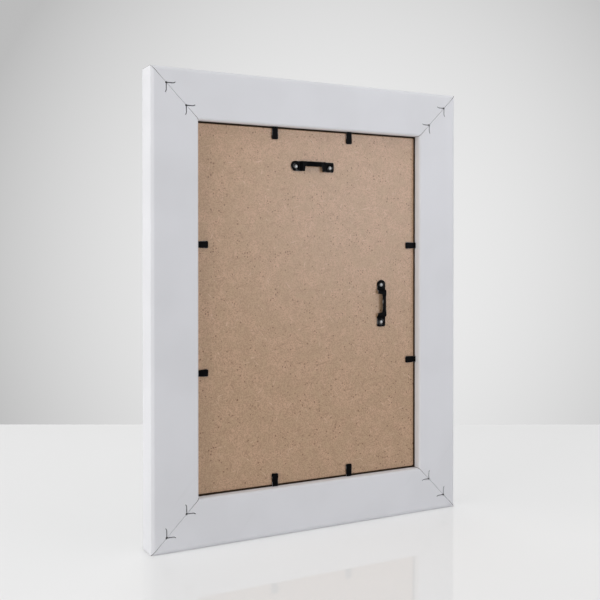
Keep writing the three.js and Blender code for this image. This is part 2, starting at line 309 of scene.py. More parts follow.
@dataclass
class StripSection:
    """Cross-section of sheet metal with rounded edges, which is swept along a line.

    Attributes:
        half_thickness: Half the sheet's thickness.
        edge_radius: Radius of its rounded edges.
        steps: Chords in each rounded edge.
    """

    half_thickness: float
    edge_radius: float = 0.15 * MM
    steps: int = 4

    def rings(self, lines: np.ndarray, sideways: np.ndarray, upward: np.ndarray, half_width: np.ndarray,
              shrink: np.ndarray) -> np.ndarray:
        """Sweeps the section: a point is its place on the line plus a share of both directions across it.

        Args:
            lines: Middle of the strip at each station.
            sideways: Unit direction across the strip at each station.
            upward: Unit direction through its thickness at each station.
            half_width: Half the width at each station.
            shrink: How far the section is drawn in at each station, to round off an end.

        Returns:
            Points as an array of stations, points of the section, and x, y, z.
        """
        side, top, cosine, sine, inset = self._corners()
        radius = self.edge_radius
        width = half_width[:, None]
        drawn = shrink[:, None]
        across = (side * (width - radius - inset) + radius * cosine) * (1 - drawn / width)
        through = (top * (self.half_thickness - radius) + radius * sine) * (1 - drawn / self.half_thickness)
        return lines[:, None] + across[..., None] * sideways[:, None] + through[..., None] * upward[:, None]

    def edge(self) -> np.ndarray:
        """Gives 1 on the rounded edges of the section and 0 on its flats."""
        return (self._corners()[4] == 0).astype(float)

    def _corners(self) -> tuple[np.ndarray, ...]:
        """Lists the section's points: a quarter circle at each corner and a point on the wide flat beside it.

        Returns:
            The signs sideways and upward, the arc's cosine and sine, and the inset of each point.
        """
        quarter = np.linspace(0, 90, self.steps + 1)
        flat_last, flat_first = np.append(quarter, 90), np.append(0, quarter)
        angles = np.radians(np.concatenate([flat_last, 90 + flat_first, 180 + flat_last, 270 + flat_first]))
        inset = np.zeros((4, self.steps + 2))
        inset[[0, 2], -1] = self.edge_radius
        inset[[1, 3], 0] = self.edge_radius
        side = np.repeat([1, -1, -1, 1], self.steps + 2)
        top = np.repeat([1, 1, -1, -1], self.steps + 2)
        return side, top, np.cos(angles), np.sin(angles), inset.ravel()


class Side(Enum):
    """A side of the picture frame: its name, its quarter turns about Y and the corner at its low end."""

    LEFT = ("left", 0, "bottom_left")
    TOP = ("top", 1, "top_left")
    RIGHT = ("right", 2, "top_right")
    BOTTOM = ("bottom", 3, "bottom_right")

    @property
    def label(self) -> str:
        """Name of the side."""
        return self.value[0]

    @property
    def corner(self) -> str:
        """Name of the corner at the low end of the side."""
        return self.value[2]

    @property
    def upright(self) -> bool:
        """Whether the side runs along Z."""
        return self.value[1] % 2 == 0

    def axes(self) -> np.ndarray:
        """Gives the side's own axes, turned by its quarter turns.

        Returns:
            Rows of inward, to the back, and along the rail.
        """
        turn = self.value[1] * math.pi / 2
        cosine, sine = round(math.cos(turn)), round(math.sin(turn))
        return np.array([[cosine, 0, -sine], [0, 1, 0], [sine, 0, cosine]], float)


class GrainAxis(Enum):
    """Direction in which a moulding was drawn, as the stretch of its streaks along X, Y and Z."""

    ALONG_X = (0.015, 1.0, 1.0)
    ALONG_Z = (1.0, 1.0, 0.015)


class Grain(NamedTuple):
    """Values of the grain effect: scales of its fine and broad unevenness."""

    fine_scale: float
    broad_scale: float


class Flecks(NamedTuple):
    """Values of the fleck effect: scale of the cells, share that shows a fleck, and size of the flecks."""

    scale: float
    share: Value
    size: float


class Fibres(NamedTuple):
    """Values of the fibre effect: scale, and the crests from which and at which a fibre shows."""

    scale: float
    low: float
    high: float


class Scuffs(NamedTuple):
    """Values of the scuff effect: scale of the lines and how strongly they show."""

    scale: float
    amount: float


class Relief(NamedTuple):
    """Depth and strength of a bump."""

    depth: float
    strength: float


def socket_name(name: str) -> str:
    """Gives the socket's name for a value's name."""
    return name.replace("_", " ").title()


class Nodes:
    """Adds linked nodes to one node tree.

    Attributes:
        tree: The node tree.
    """

    def __init__(self, tree: bpy.types.NodeTree) -> None:
        """Keeps the tree that the nodes go into."""
        self.tree = tree

    def feed(self, node: bpy.types.Node, feeds: dict[str | int, Any]) -> bpy.types.Node:
        """Links or sets inputs of a node; a plain colour gets a full alpha.

        Args:
            node: The node.
            feeds: Sockets or plain values, by the input's name or number.

        Returns:
            The node.
        """
        for name, value in feeds.items():
            socket = node.inputs[name]
            if isinstance(value, Socket):
                self.tree.links.new(value, socket)
            else:
                socket.default_value = (*value, 1.0) if socket.type == "RGBA" else value
        return node

    def add(self, kind: str, feeds: dict[str | int, Any] | None = None, **settings: Any) -> bpy.types.Node:
        """Adds a node.

        Args:
            kind: Blender's name of the node type.
            feeds: Sockets or plain values for the node's inputs, by name or number.
            **settings: Properties of the node.

        Returns:
            The node.
        """
        node = self.tree.nodes.new(kind)
        for name, value in settings.items():
            setattr(node, name, value)
        return self.feed(node, feeds or {})

    def math(self, operation: str, first: Value, second: Value, clamp: bool = False) -> Socket:
        """Works out a sum, product or the like of two values and gives it."""
        node = self.add("ShaderNodeMath", {0: first, 1: second}, operation=operation, use_clamp=clamp)
        return node.outputs[0]

    def scaled(self, value: Value, share: Value) -> Socket:
        """Multiplies two values and gives the result."""
        return self.math("MULTIPLY", value, share)

    def span(self, value: Value, taken: tuple[Value, Value], given: Span = (0.0, 1.0)) -> Socket:
        """Maps one span of values smoothly onto another and gives the result."""
        ends = {"From Min": taken[0], "From Max": taken[1], "To Min": given[0], "To Max": given[1]}
        return self.add("ShaderNodeMapRange", {"Value": value, **ends},
                        interpolation_type="SMOOTHSTEP").outputs["Result"]

    def blend(self, factor: Value, first: Tint, second: Tint) -> Socket:
        """Mixes two colours and gives the result."""
        return self.add("ShaderNodeMix", {0: factor, 6: first, 7: second}, data_type="RGBA").outputs[2]

    def mixed(self, factor: Value, first: Socket, second: Socket) -> Socket:
        """Mixes two shaders and gives the result."""
        return self.add("ShaderNodeMixShader", {0: factor, 1: first, 2: second}).outputs[0]

    def noise(self, vector: Socket, scale: Value, detail: float = 2.0, rough: float = 0.5) -> Socket:
        """Adds a noise texture and gives its value."""
        feeds = {"Vector": vector, "Scale": scale, "Detail": detail, "Roughness": rough}
        return self.add("ShaderNodeTexNoise", feeds).outputs["Fac"]

    def stretched(self, vector: Socket, scale: Place, turn: float = 0.0) -> Socket:
        """Turns coordinates about Y, scales them along each axis and gives the result."""
        twisted = self.add("ShaderNodeMapping", {"Vector": vector, "Rotation": (0.0, turn, 0.0)}).outputs[0]
        return self.add("ShaderNodeMapping", {"Vector": twisted, "Scale": scale}).outputs[0]

    def bump(self, height: Socket, relief: Relief) -> Socket:
        """Turns a height into a normal and gives it."""
        feeds = {"Height": height, "Distance": relief.depth, "Strength": relief.strength}
        return self.add("ShaderNodeBump", feeds).outputs["Normal"]

    def emission(self, colour: Tint) -> Socket:
        """Adds a light of its own at a strength of 1 and gives the shader."""
        return self.add("ShaderNodeEmission", {"Color": colour, "Strength": 1.0}).outputs[0]

    def show(self, shader: Socket) -> None:
        """Links a shader to the output of a material or world."""
        output = next(node for node in self.tree.nodes if node.type.startswith("OUTPUT"))
        self.tree.links.new(shader, output.inputs["Surface"])


class Coat(Nodes):
    """Nodes of one material in the making.

    Attributes:
        material: The material.
        shader: Its Principled shader.
        where: Its Object coordinates.
    """

    def __init__(self, name: str) -> None:
        """Makes the material.

        Args:
            name: Name of the material.
        """
        self.material = bpy.data.materials.new(name)
        self.material.use_nodes = True
        super().__init__(self.material.node_tree)
        self.shader = self.tree.nodes["Principled BSDF"]
        self.where = self.add("ShaderNodeTexCoord").outputs["Object"]

    def place(self, effect: bpy.types.NodeTree, values: NamedTuple) -> Outputs:
        """Places a shared effect with its own values on the coordinates and gives its outputs."""
        feeds = {socket_name(name): value for name, value in values._asdict().items()}
        return self.add("ShaderNodeGroup", {"Vector": self.where, **feeds}, node_tree=effect).outputs

    def edge(self) -> Socket:
        """Gives the piece's own nearness to an edge, which on some pieces is the strength of painted shade and
        grime.
        """
        return self.add("ShaderNodeAttribute", attribute_name="edge").outputs["Fac"]


class Effects:
    """Surface effects that several finishes share, each a shader node group built once.

    Attributes:
        grain: Fine and broad unevenness.
        flecks: Scattered flecks.
        fibres: Short fibres.
        scuffs: Patchy scuffs.
    """

    FINE_DETAIL = 5.0
    FINE_ROUGH = 0.62
    FLECK_RAGGED_SCALE = 3.0
    FLECK_RAGGED = 0.6
    FLECK_SOFTNESS = 0.08
    FIBRE_TURNS = (0.3, 1.35, 2.4)
    FIBRE_STRETCH: Place = (1.0, 1.0, 0.14)
    SCUFF_TURN = 0.7
    SCUFF_STRETCH: Place = (1.0, 1.0, 0.06)
    SCUFF_DETAIL = 3.0
    SCUFF_LINES: Span = (0.62, 0.72)
    SCUFF_PATCH_SCALE = 0.08
    SCUFF_PATCHES: Span = (0.5, 0.68)

    def __init__(self) -> None:
        """Builds the groups."""
        self.grain = self._grain()
        self.flecks = self._flecks()
        self.fibres = self._fibres()
        self.scuffs = self._scuffs()

    def _group(self, name: str, inputs: tuple[str, ...], *outputs: str) -> tuple[Nodes, Outputs, Inputs]:
        """Makes an empty group whose first input is a vector and whose other sockets are values.

        Args:
            name: Name of the group.
            inputs: Names of its values.
            *outputs: Names of its outputs.

        Returns:
            The group's nodes, the sockets that its input gives and the sockets that its output takes.
        """
        tree = bpy.data.node_groups.new(name, "ShaderNodeTree")
        tree.interface.new_socket("Vector", in_out="INPUT", socket_type="NodeSocketVector")
        for value in inputs:
            tree.interface.new_socket(socket_name(value), in_out="INPUT", socket_type="NodeSocketFloat")
        for output in outputs:
            tree.interface.new_socket(output, in_out="OUTPUT", socket_type="NodeSocketFloat")
        nodes = Nodes(tree)
        return nodes, nodes.add("NodeGroupInput").outputs, nodes.add("NodeGroupOutput").inputs

    def _grain(self) -> bpy.types.NodeTree:
        """Builds fine and broad unevenness, as two noises of their own scale.

        Returns:
            The group.
        """
        nodes, given, result = self._group("fine_grain", Grain._fields, "Fine", "Broad")
        fine = nodes.noise(given["Vector"], given["Fine Scale"], self.FINE_DETAIL, self.FINE_ROUGH)
        nodes.tree.links.new(fine, result["Fine"])
        nodes.tree.links.new(nodes.noise(given["Vector"], given["Broad Scale"]), result["Broad"])
        return nodes.tree

    def _flecks(self) -> bpy.types.NodeTree:
        """Builds scattered flecks: round cells, of which only a share is shown, with ragged rims.

        Returns:
            The group.
        """
        nodes, given, result = self._group("flecks", Flecks._fields, "Mask")
        ragged = nodes.noise(given["Vector"], nodes.scaled(given["Scale"], self.FLECK_RAGGED_SCALE))
        cells = nodes.add("ShaderNodeTexVoronoi", {"Vector": given["Vector"], "Scale": given["Scale"]})
        reach = nodes.math("ADD", cells.outputs["Distance"], nodes.scaled(ragged, self.FLECK_RAGGED))
        rim = nodes.math("ADD", given["Size"], self.FLECK_RAGGED / 2)
        inside = nodes.math("DIVIDE", nodes.math("SUBTRACT", rim, reach), self.FLECK_SOFTNESS, clamp=True)
        lot = nodes.add("ShaderNodeSeparateColor", {"Color": cells.outputs["Color"]}).outputs["Red"]
        shown = nodes.math("LESS_THAN", lot, given["Share"])
        nodes.tree.links.new(nodes.scaled(inside, shown), result["Mask"])
        return nodes.tree

    def _fibres(self) -> bpy.types.NodeTree:
        """Builds short fibres: noises drawn out in three directions of the sheet, whose crests are kept.

        Returns:
            The group.
        """
        nodes, given, result = self._group("fibres", Fibres._fields, "Mask")
        crest = None
        for turn in self.FIBRE_TURNS:
            drawn = nodes.stretched(given["Vector"], self.FIBRE_STRETCH, turn)
            value = nodes.noise(drawn, given["Scale"])
            crest = value if crest is None else nodes.math("MAXIMUM", crest, value)
        nodes.tree.links.new(nodes.span(crest, (given["Low"], given["High"])), result["Mask"])
        return nodes.tree

    def _scuffs(self) -> bpy.types.NodeTree:
        """Builds patchy scuffs: thin crests of drawn-out noise where a broad noise is high.

        Returns:
            The group.
        """
        nodes, given, result = self._group("scuffs", Scuffs._fields, "Mask")
        drawn = nodes.stretched(given["Vector"], self.SCUFF_STRETCH, self.SCUFF_TURN)
        lines = nodes.span(nodes.noise(drawn, given["Scale"], self.SCUFF_DETAIL), self.SCUFF_LINES)
        broad = nodes.noise(given["Vector"], nodes.scaled(given["Scale"], self.SCUFF_PATCH_SCALE))
        marks = nodes.scaled(lines, nodes.span(broad, self.SCUFF_PATCHES))
        nodes.tree.links.new(nodes.scaled(marks, given["Amount"]), result["Mask"])
        return nodes.tree


@dataclass(frozen=True)
class Finish:
    """A surface finish that builds its own material.

    Attributes:
        name: Name of the material.
        slot: The record's material slot that it belongs to; not used.
    """

    name: str
    slot: str

    def build(self, effects: Effects) -> bpy.types.Material:
        """Builds the material; each finish has its own way."""
        raise NotImplementedError


@dataclass(frozen=True)
class MouldedPlastic(Finish):
    """Satin white plastic moulding with faint drawing lines, a soft skin and a few scuffs.

    Attributes:
        axis: Direction in which the moulding was drawn.
        white: Colour of the skin.
        shade: Colour of its duller patches.
        scuffed: Colour of scuff marks and dust.
        grime: Colour of painted shade with dust in the rabbet and slots, and of dirt in joints.
        grain: Scales of the skin.
        shade_span: Broad unevenness over which the skin turns dull.
        line_scale: Scale of the drawing lines.
        scuffs: The scuffs.
        dust: The specks of dust.
        mark_weight: How strongly scuffs and dust colour the skin.
        rough: Least and greatest roughness of the clean skin.
        scuff_rough: Roughness added by scuffs.
        grime_rough: Roughness added where shade and grime are painted.
        fine_share: Share of the fine grain in the relief.
        relief: The bump.
        ior: Index of refraction.
    """

    axis: GrainAxis = GrainAxis.ALONG_Z
    white: Colour = (0.82, 0.82, 0.845)
    shade: Colour = (0.79, 0.79, 0.812)
    scuffed: Colour = (0.66, 0.66, 0.67)
    grime: Colour = (0.075, 0.042, 0.021)
    grain: Grain = Grain(fine_scale=900.0, broad_scale=18.0)
    shade_span: Span = (0.35, 0.7)
    line_scale: float = 1400.0
    scuffs: Scuffs = Scuffs(scale=240.0, amount=0.5)
    dust: Flecks = Flecks(scale=120.0, share=0.05, size=0.06)
    mark_weight: float = 0.25
    rough: Span = (0.5, 0.58)
    scuff_rough: float = 0.1
    grime_rough: float = 0.4
    fine_share: float = 0.5
    relief: Relief = Relief(depth=0.02 * MM, strength=0.3)
    ior: float = 1.5

    def build(self, effects: Effects) -> bpy.types.Material:
        """Builds the material: a skin of two whites under scuffs and dust, with painted shade and grime where
        marked.

        Args:
            effects: Shared effects.

        Returns:
            The material.
        """
        coat = Coat(self.name)
        grain = coat.place(effects.grain, self.grain)
        lines = coat.noise(coat.stretched(coat.where, self.axis.value), self.line_scale)
        scuffs = coat.place(effects.scuffs, self.scuffs)["Mask"]
        dust = coat.place(effects.flecks, self.dust)["Mask"]
        # Painted shade: where the edge attribute marks it, the rabbet and slots darken, with dust, and the
        # joints take dirt.
        shade_and_grime_mask = coat.edge()
        skin = coat.blend(coat.span(grain["Broad"], self.shade_span), self.white, self.shade)
        marked = coat.blend(coat.scaled(scuffs, self.mark_weight), skin, self.scuffed)
        dusty = coat.blend(coat.scaled(dust, self.mark_weight), marked, self.scuffed)
        clean_rough = coat.span(grain["Broad"], NOISE_SPAN, self.rough)
        scuff_rough = coat.scaled(scuffs, self.scuff_rough)
        added_rough = coat.math("ADD", scuff_rough, coat.scaled(shade_and_grime_mask, self.grime_rough))
        height = coat.math("ADD", coat.scaled(grain["Fine"], self.fine_share), lines)
        coat.feed(coat.shader, {
            "Base Color": coat.blend(shade_and_grime_mask, dusty, self.grime),
            "Roughness": coat.math("ADD", clean_rough, added_rough, clamp=True),
            "Normal": coat.bump(height, self.relief),
            "IOR": self.ior,
        })
        return coat.material


@dataclass(frozen=True)
class Hardboard(Finish):
    """Raw brown hardboard: pressed fibres in warm and olive clouds, with light strands and dark bark flecks.

    Attributes:
        warm: Colour of the pressed fibres in the warm clouds.
        olive: Colour of the pressed fibres in the clouds between.
        brown: Colour of the hollows between the fibres and of dark fibres.
        strand: Colour of light strands.
        bark: Colour of dark flecks.
        grain: Scales of the hollows and the clouds.
        cloud_span: Broad unevenness over which olive turns warm.
        hollow_span: Fine unevenness over which a hollow turns into pressed fibres.
        strands: The light strands.
        strand_weight: How strongly they show.
        dark_fibres: The dark fibres.
        dark_weight: How strongly they show.
        flecks: The bark flecks, whose share comes from the crowds.
        fleck_weight: How strongly they show.
        crowd_scale: Scale of the crowds of flecks.
        crowd_span: Unevenness over which a crowd sets in.
        crowd_share: Share of cells with a fleck, outside and inside a crowd.
        rough: Least and greatest roughness.
        strand_relief: Height of the strands as a share of the grain's.
        relief: The bump.
        ior: Index of refraction.
    """

    warm: Colour = (0.611, 0.395, 0.254)
    olive: Colour = (0.547, 0.367, 0.226)
    brown: Colour = (0.425, 0.264, 0.159)
    strand: Colour = (0.721, 0.504, 0.352)
    bark: Colour = (0.16, 0.062, 0.018)
    grain: Grain = Grain(fine_scale=1050.0, broad_scale=80.0)
    cloud_span: Span = (0.36, 0.64)
    hollow_span: Span = (0.36, 0.6)
    strands: Fibres = Fibres(scale=700.0, low=0.68, high=0.78)
    strand_weight: float = 0.8
    dark_fibres: Fibres = Fibres(scale=520.0, low=0.66, high=0.74)
    dark_weight: float = 0.95
    flecks: Flecks = Flecks(scale=430.0, share=0.0, size=0.3)
    fleck_weight: float = 0.75
    crowd_scale: float = 110.0
    crowd_span: Span = (0.42, 0.66)
    crowd_share: Span = (0.04, 0.4)
    rough: Span = (0.3, 0.38)
    strand_relief: float = 0.4
    relief: Relief = Relief(depth=0.03 * MM, strength=0.3)
    ior: float = 1.5

    def build(self, effects: Effects) -> bpy.types.Material:
        """Builds the material: clouds and hollows, then strands, dark fibres and flecks over each other.

        Args:
            effects: Shared effects.

        Returns:
            The material.
        """
        coat = Coat(self.name)
        grain = coat.place(effects.grain, self.grain)
        strands = coat.place(effects.fibres, self.strands)["Mask"]
        dark = coat.place(effects.fibres, self.dark_fibres)["Mask"]
        crowded = coat.span(coat.noise(coat.where, self.crowd_scale), self.crowd_span, self.crowd_share)
        flecks = coat.place(effects.flecks, self.flecks._replace(share=crowded))["Mask"]
        clouds = coat.blend(coat.span(grain["Broad"], self.cloud_span), self.olive, self.warm)
        pressed = coat.blend(coat.span(grain["Fine"], self.hollow_span), self.brown, clouds)
        light = coat.blend(coat.scaled(strands, self.strand_weight), pressed, self.strand)
        shaded = coat.blend(coat.scaled(dark, self.dark_weight), light, self.brown)
        height = coat.math("ADD", grain["Fine"], coat.scaled(strands, self.strand_relief))
        coat.feed(coat.shader, {
            "Base Color": coat.blend(coat.scaled(flecks, self.fleck_weight), shaded, self.bark),
            "Roughness": coat.span(grain["Fine"], NOISE_SPAN, self.rough),
            "Normal": coat.bump(height, self.relief),
            "IOR": self.ior,
        })
        return coat.material


@dataclass(frozen=True)
class BlackSteel(Finish):
    """Black coated sheet steel, worn to grey metal in places along its edges.

    Attributes:
        black: Colour of the coat.
        dull: Colour of its dusty patches.
        bare: Colour of bare steel.
        grain: Scales of the coat.
        scuffs: The scuffs.
        scuff_weight: How strongly they bare the steel.
        edge_span: Nearness to an edge over which wear sets in.
        patch_span: Broad unevenness over which a worn patch sets in.
        wear_weight: How strongly wear bares the steel.
        bare_metal: How metallic bare steel is.
        rough: Least and greatest roughness.
        relief: The bump.
        specular: Strength of the coat's gloss.
    """

    black: Colour = (0.0015, 0.0015, 0.0018)
    dull: Colour = (0.0032, 0.0032, 0.0036)
    bare: Colour = (0.4, 0.4, 0.41)
    grain: Grain = Grain(fine_scale=2600.0, broad_scale=240.0)
    scuffs: Scuffs = Scuffs(scale=1500.0, amount=0.6)
    scuff_weight: float = 0.06
    edge_span: Span = (0.75, 1.0)
    patch_span: Span = (0.46, 0.6)
    wear_weight: float = 0.8
    bare_metal: float = 0.8
    rough: Span = (0.28, 0.42)
    relief: Relief = Relief(depth=0.02 * MM, strength=0.2)
    specular: float = 0.03

    def build(self, effects: Effects) -> bpy.types.Material:
        """Builds the material: a coat of two blacks, bared by scuffs and where patches meet an edge.

        Args:
            effects: Shared effects.

        Returns:
            The material.
        """
        coat = Coat(self.name)
        grain = coat.place(effects.grain, self.grain)
        scuffs = coat.place(effects.scuffs, self.scuffs)["Mask"]
        near_edge = coat.span(coat.edge(), self.edge_span)
        worn = coat.scaled(near_edge, coat.span(grain["Broad"], self.patch_span))
        paint = coat.blend(coat.span(grain["Broad"], NOISE_SPAN), self.black, self.dull)
        scratched = coat.scaled(scuffs, self.scuff_weight)
        bare = coat.math("ADD", coat.scaled(worn, self.wear_weight), scratched, clamp=True)
        coat.feed(coat.shader, {
            "Base Color": coat.blend(bare, paint, self.bare),
            "Roughness": coat.span(grain["Fine"], NOISE_SPAN, self.rough),
            "Metallic": coat.scaled(bare, self.bare_metal),
            "Normal": coat.bump(grain["Fine"], self.relief),
            "Specular IOR Level": self.specular,
        })
        return coat.material


@dataclass(frozen=True)
class PlatedSteel(Finish):
    """Plated or bare steel with fine scratches, dull spots, and painted shade with grime where it meets its
    neighbour.

    Attributes:
        metal: Colour of the clean metal.
        tarnish: Colour of the dull spots.
        grime: Colour of the shade painted at its edges, with grime.
        rough: Roughness where it is clean and where it is dull.
        grain: Scales of the metal.
        scuffs: The scratches.
        spots: The dull spots.
        spot_weight: How dull the spots are.
        dull_span: Broad unevenness over which the metal turns dull.
        dull_share: How dull it is before and past that span.
        grime_weight: How strongly the painted shade and grime show.
        relief: The bump.
    """

    metal: Colour = (0.42, 0.42, 0.415)
    tarnish: Colour = (0.3, 0.295, 0.285)
    grime: Colour = (0.02, 0.02, 0.02)
    rough: Span = (0.42, 0.55)
    grain: Grain = Grain(fine_scale=3200.0, broad_scale=700.0)
    scuffs: Scuffs = Scuffs(scale=3000.0, amount=0.7)
    spots: Flecks = Flecks(scale=1100.0, share=0.3, size=0.2)
    spot_weight: float = 0.6
    dull_span: Span = (0.45, 0.75)
    dull_share: Span = (0.0, 0.35)
    grime_weight: float = 0.9
    relief: Relief = Relief(depth=0.01 * MM, strength=0.2)

    def build(self, effects: Effects) -> bpy.types.Material:
        """Builds the material: clean and dull metal, with painted shade and grime near the edge.

        Args:
            effects: Shared effects.

        Returns:
            The material.
        """
        coat = Coat(self.name)
        grain = coat.place(effects.grain, self.grain)
        scuffs = coat.place(effects.scuffs, self.scuffs)["Mask"]
        spots = coat.place(effects.flecks, self.spots)["Mask"]
        marks = coat.math("MAXIMUM", scuffs, coat.scaled(spots, self.spot_weight))
        dull = coat.math("ADD", marks, coat.span(grain["Broad"], self.dull_span, self.dull_share), clamp=True)
        spotted = coat.blend(dull, self.metal, self.tarnish)
        # Painted shade: the edge attribute darkens a rivet head's rim and a nail's rolled point, with grime.
        coat.feed(coat.shader, {
            "Base Color": coat.blend(coat.scaled(coat.edge(), self.grime_weight), spotted, self.grime),
            "Metallic": 1.0,
            "Roughness": coat.span(dull, (0.0, 1.0), self.rough),
            "Normal": coat.bump(grain["Fine"], self.relief),
        })
        return coat.material


@dataclass(frozen=True)
class BlankCard(Finish):
    """Blank off-white card with a soft tooth and a few pulp fibres.

    Attributes:
        paper: Colour of the card.
        warm: Colour of its warmer clouds.
        pulp: Colour of pulp fibres.
        grain: Scales of the tooth and the clouds.
        fibres: The pulp fibres.
        fibre_weight: How strongly they show.
        rough: Least and greatest roughness.
        relief: The bump.
    """

    paper: Colour = (0.83, 0.81, 0.765)
    warm: Colour = (0.815, 0.793, 0.744)
    pulp: Colour = (0.6, 0.56, 0.49)
    grain: Grain = Grain(fine_scale=1500.0, broad_scale=45.0)
    fibres: Fibres = Fibres(scale=800.0, low=0.7, high=0.78)
    fibre_weight: float = 0.35
    rough: Span = (0.75, 0.9)
    relief: Relief = Relief(depth=0.04 * MM, strength=0.3)

    def build(self, effects: Effects) -> bpy.types.Material:
        """Builds the material: pale clouds with pulp fibres over them.

        Args:
            effects: Shared effects.

        Returns:
            The material.
        """
        coat = Coat(self.name)
        grain = coat.place(effects.grain, self.grain)
        fibres = coat.place(effects.fibres, self.fibres)["Mask"]
        clouds = coat.blend(coat.span(grain["Broad"], NOISE_SPAN), self.paper, self.warm)
        coat.feed(coat.shader, {
            "Base Color": coat.blend(coat.scaled(fibres, self.fibre_weight), clouds, self.pulp),
            "Roughness": coat.span(grain["Fine"], NOISE_SPAN, self.rough),
            "Normal": coat.bump(grain["Fine"], self.relief),
        })
        return coat.material


@dataclass(frozen=True)
class ClearGlass(Finish):
    """Clear float glass with a trace of green and faint wiping marks; lamps shine through it.

    Attributes:
        tint: Colour of the glass.
        wiped: Scales of the wiping marks.
        mark_span: Broad unevenness over which a mark sets in.
        mark_rough: Roughness before and past that span.
        dust: The specks of dust.
        dust_rough: Roughness added by dust.
        ior: Index of refraction.
    """

    tint: Colour = (0.955, 0.985, 0.975)
    wiped: Grain = Grain(fine_scale=60.0, broad_scale=12.0)
    mark_span: Span = (0.45, 0.75)
    mark_rough: Span = (0.0, 0.03)
    dust: Flecks = Flecks(scale=140.0, share=0.08, size=0.04)
    dust_rough: float = 0.2
    ior: float = 1.5

    def build(self, effects: Effects) -> bpy.types.Material:
        """Builds the material: clear glass, roughened by marks and dust, and see-through for lamps.

        Args:
            effects: Shared effects.

        Returns:
            The material.
        """
        coat = Coat(self.name)
        marks = coat.span(coat.place(effects.grain, self.wiped)["Broad"], self.mark_span, self.mark_rough)
        dust = coat.place(effects.flecks, self.dust)["Mask"]
        coat.feed(coat.shader, {
            "Base Color": self.tint,
            "Roughness": coat.math("ADD", marks, coat.scaled(dust, self.dust_rough)),
            "Transmission Weight": 1.0,
            "IOR": self.ior,
        })
        lamp_ray = coat.add("ShaderNodeLightPath").outputs["Is Shadow Ray"]
        clear = coat.add("ShaderNodeBsdfTransparent", {"Color": self.tint}).outputs[0]
        coat.show(coat.mixed(lamp_ray, coat.shader.outputs[0], clear))
        return coat.material


def dress(piece: bpy.types.Object, finish: Finish, material: bpy.types.Material, *nodes: str) -> None:
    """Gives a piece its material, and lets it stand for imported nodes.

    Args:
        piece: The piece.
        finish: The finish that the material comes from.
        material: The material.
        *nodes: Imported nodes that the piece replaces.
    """
    piece.data.materials.clear()
    piece.data.materials.append(material)
    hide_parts(*nodes)
    LOG.info("%s: %d faces, %s, for %s", piece.name, len(piece.data.polygons), finish.name, ", ".join(nodes))


@dataclass
class Whole:
    """Box of the whole picture frame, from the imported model.

    Attributes:
        low: Its lowest corner.
        high: Its highest corner.
    """

    low: np.ndarray
    high: np.ndarray

    def half(self, side: Side) -> float:
        """Half the size across a side's rail."""
        axis = 0 if side.upright else 2
        return (self.high[axis] - self.low[axis]) / 2

    def length(self, side: Side) -> float:
        """Outer length of a side's rail."""
        axis = 2 if side.upright else 0
        return self.high[axis] - self.low[axis]

    def middle(self) -> np.ndarray:
        """Point on the axis through the picture's middle, half way up, at y = 0."""
        return np.array([0.0, 0.0, (self.low[2] + self.high[2]) / 2])


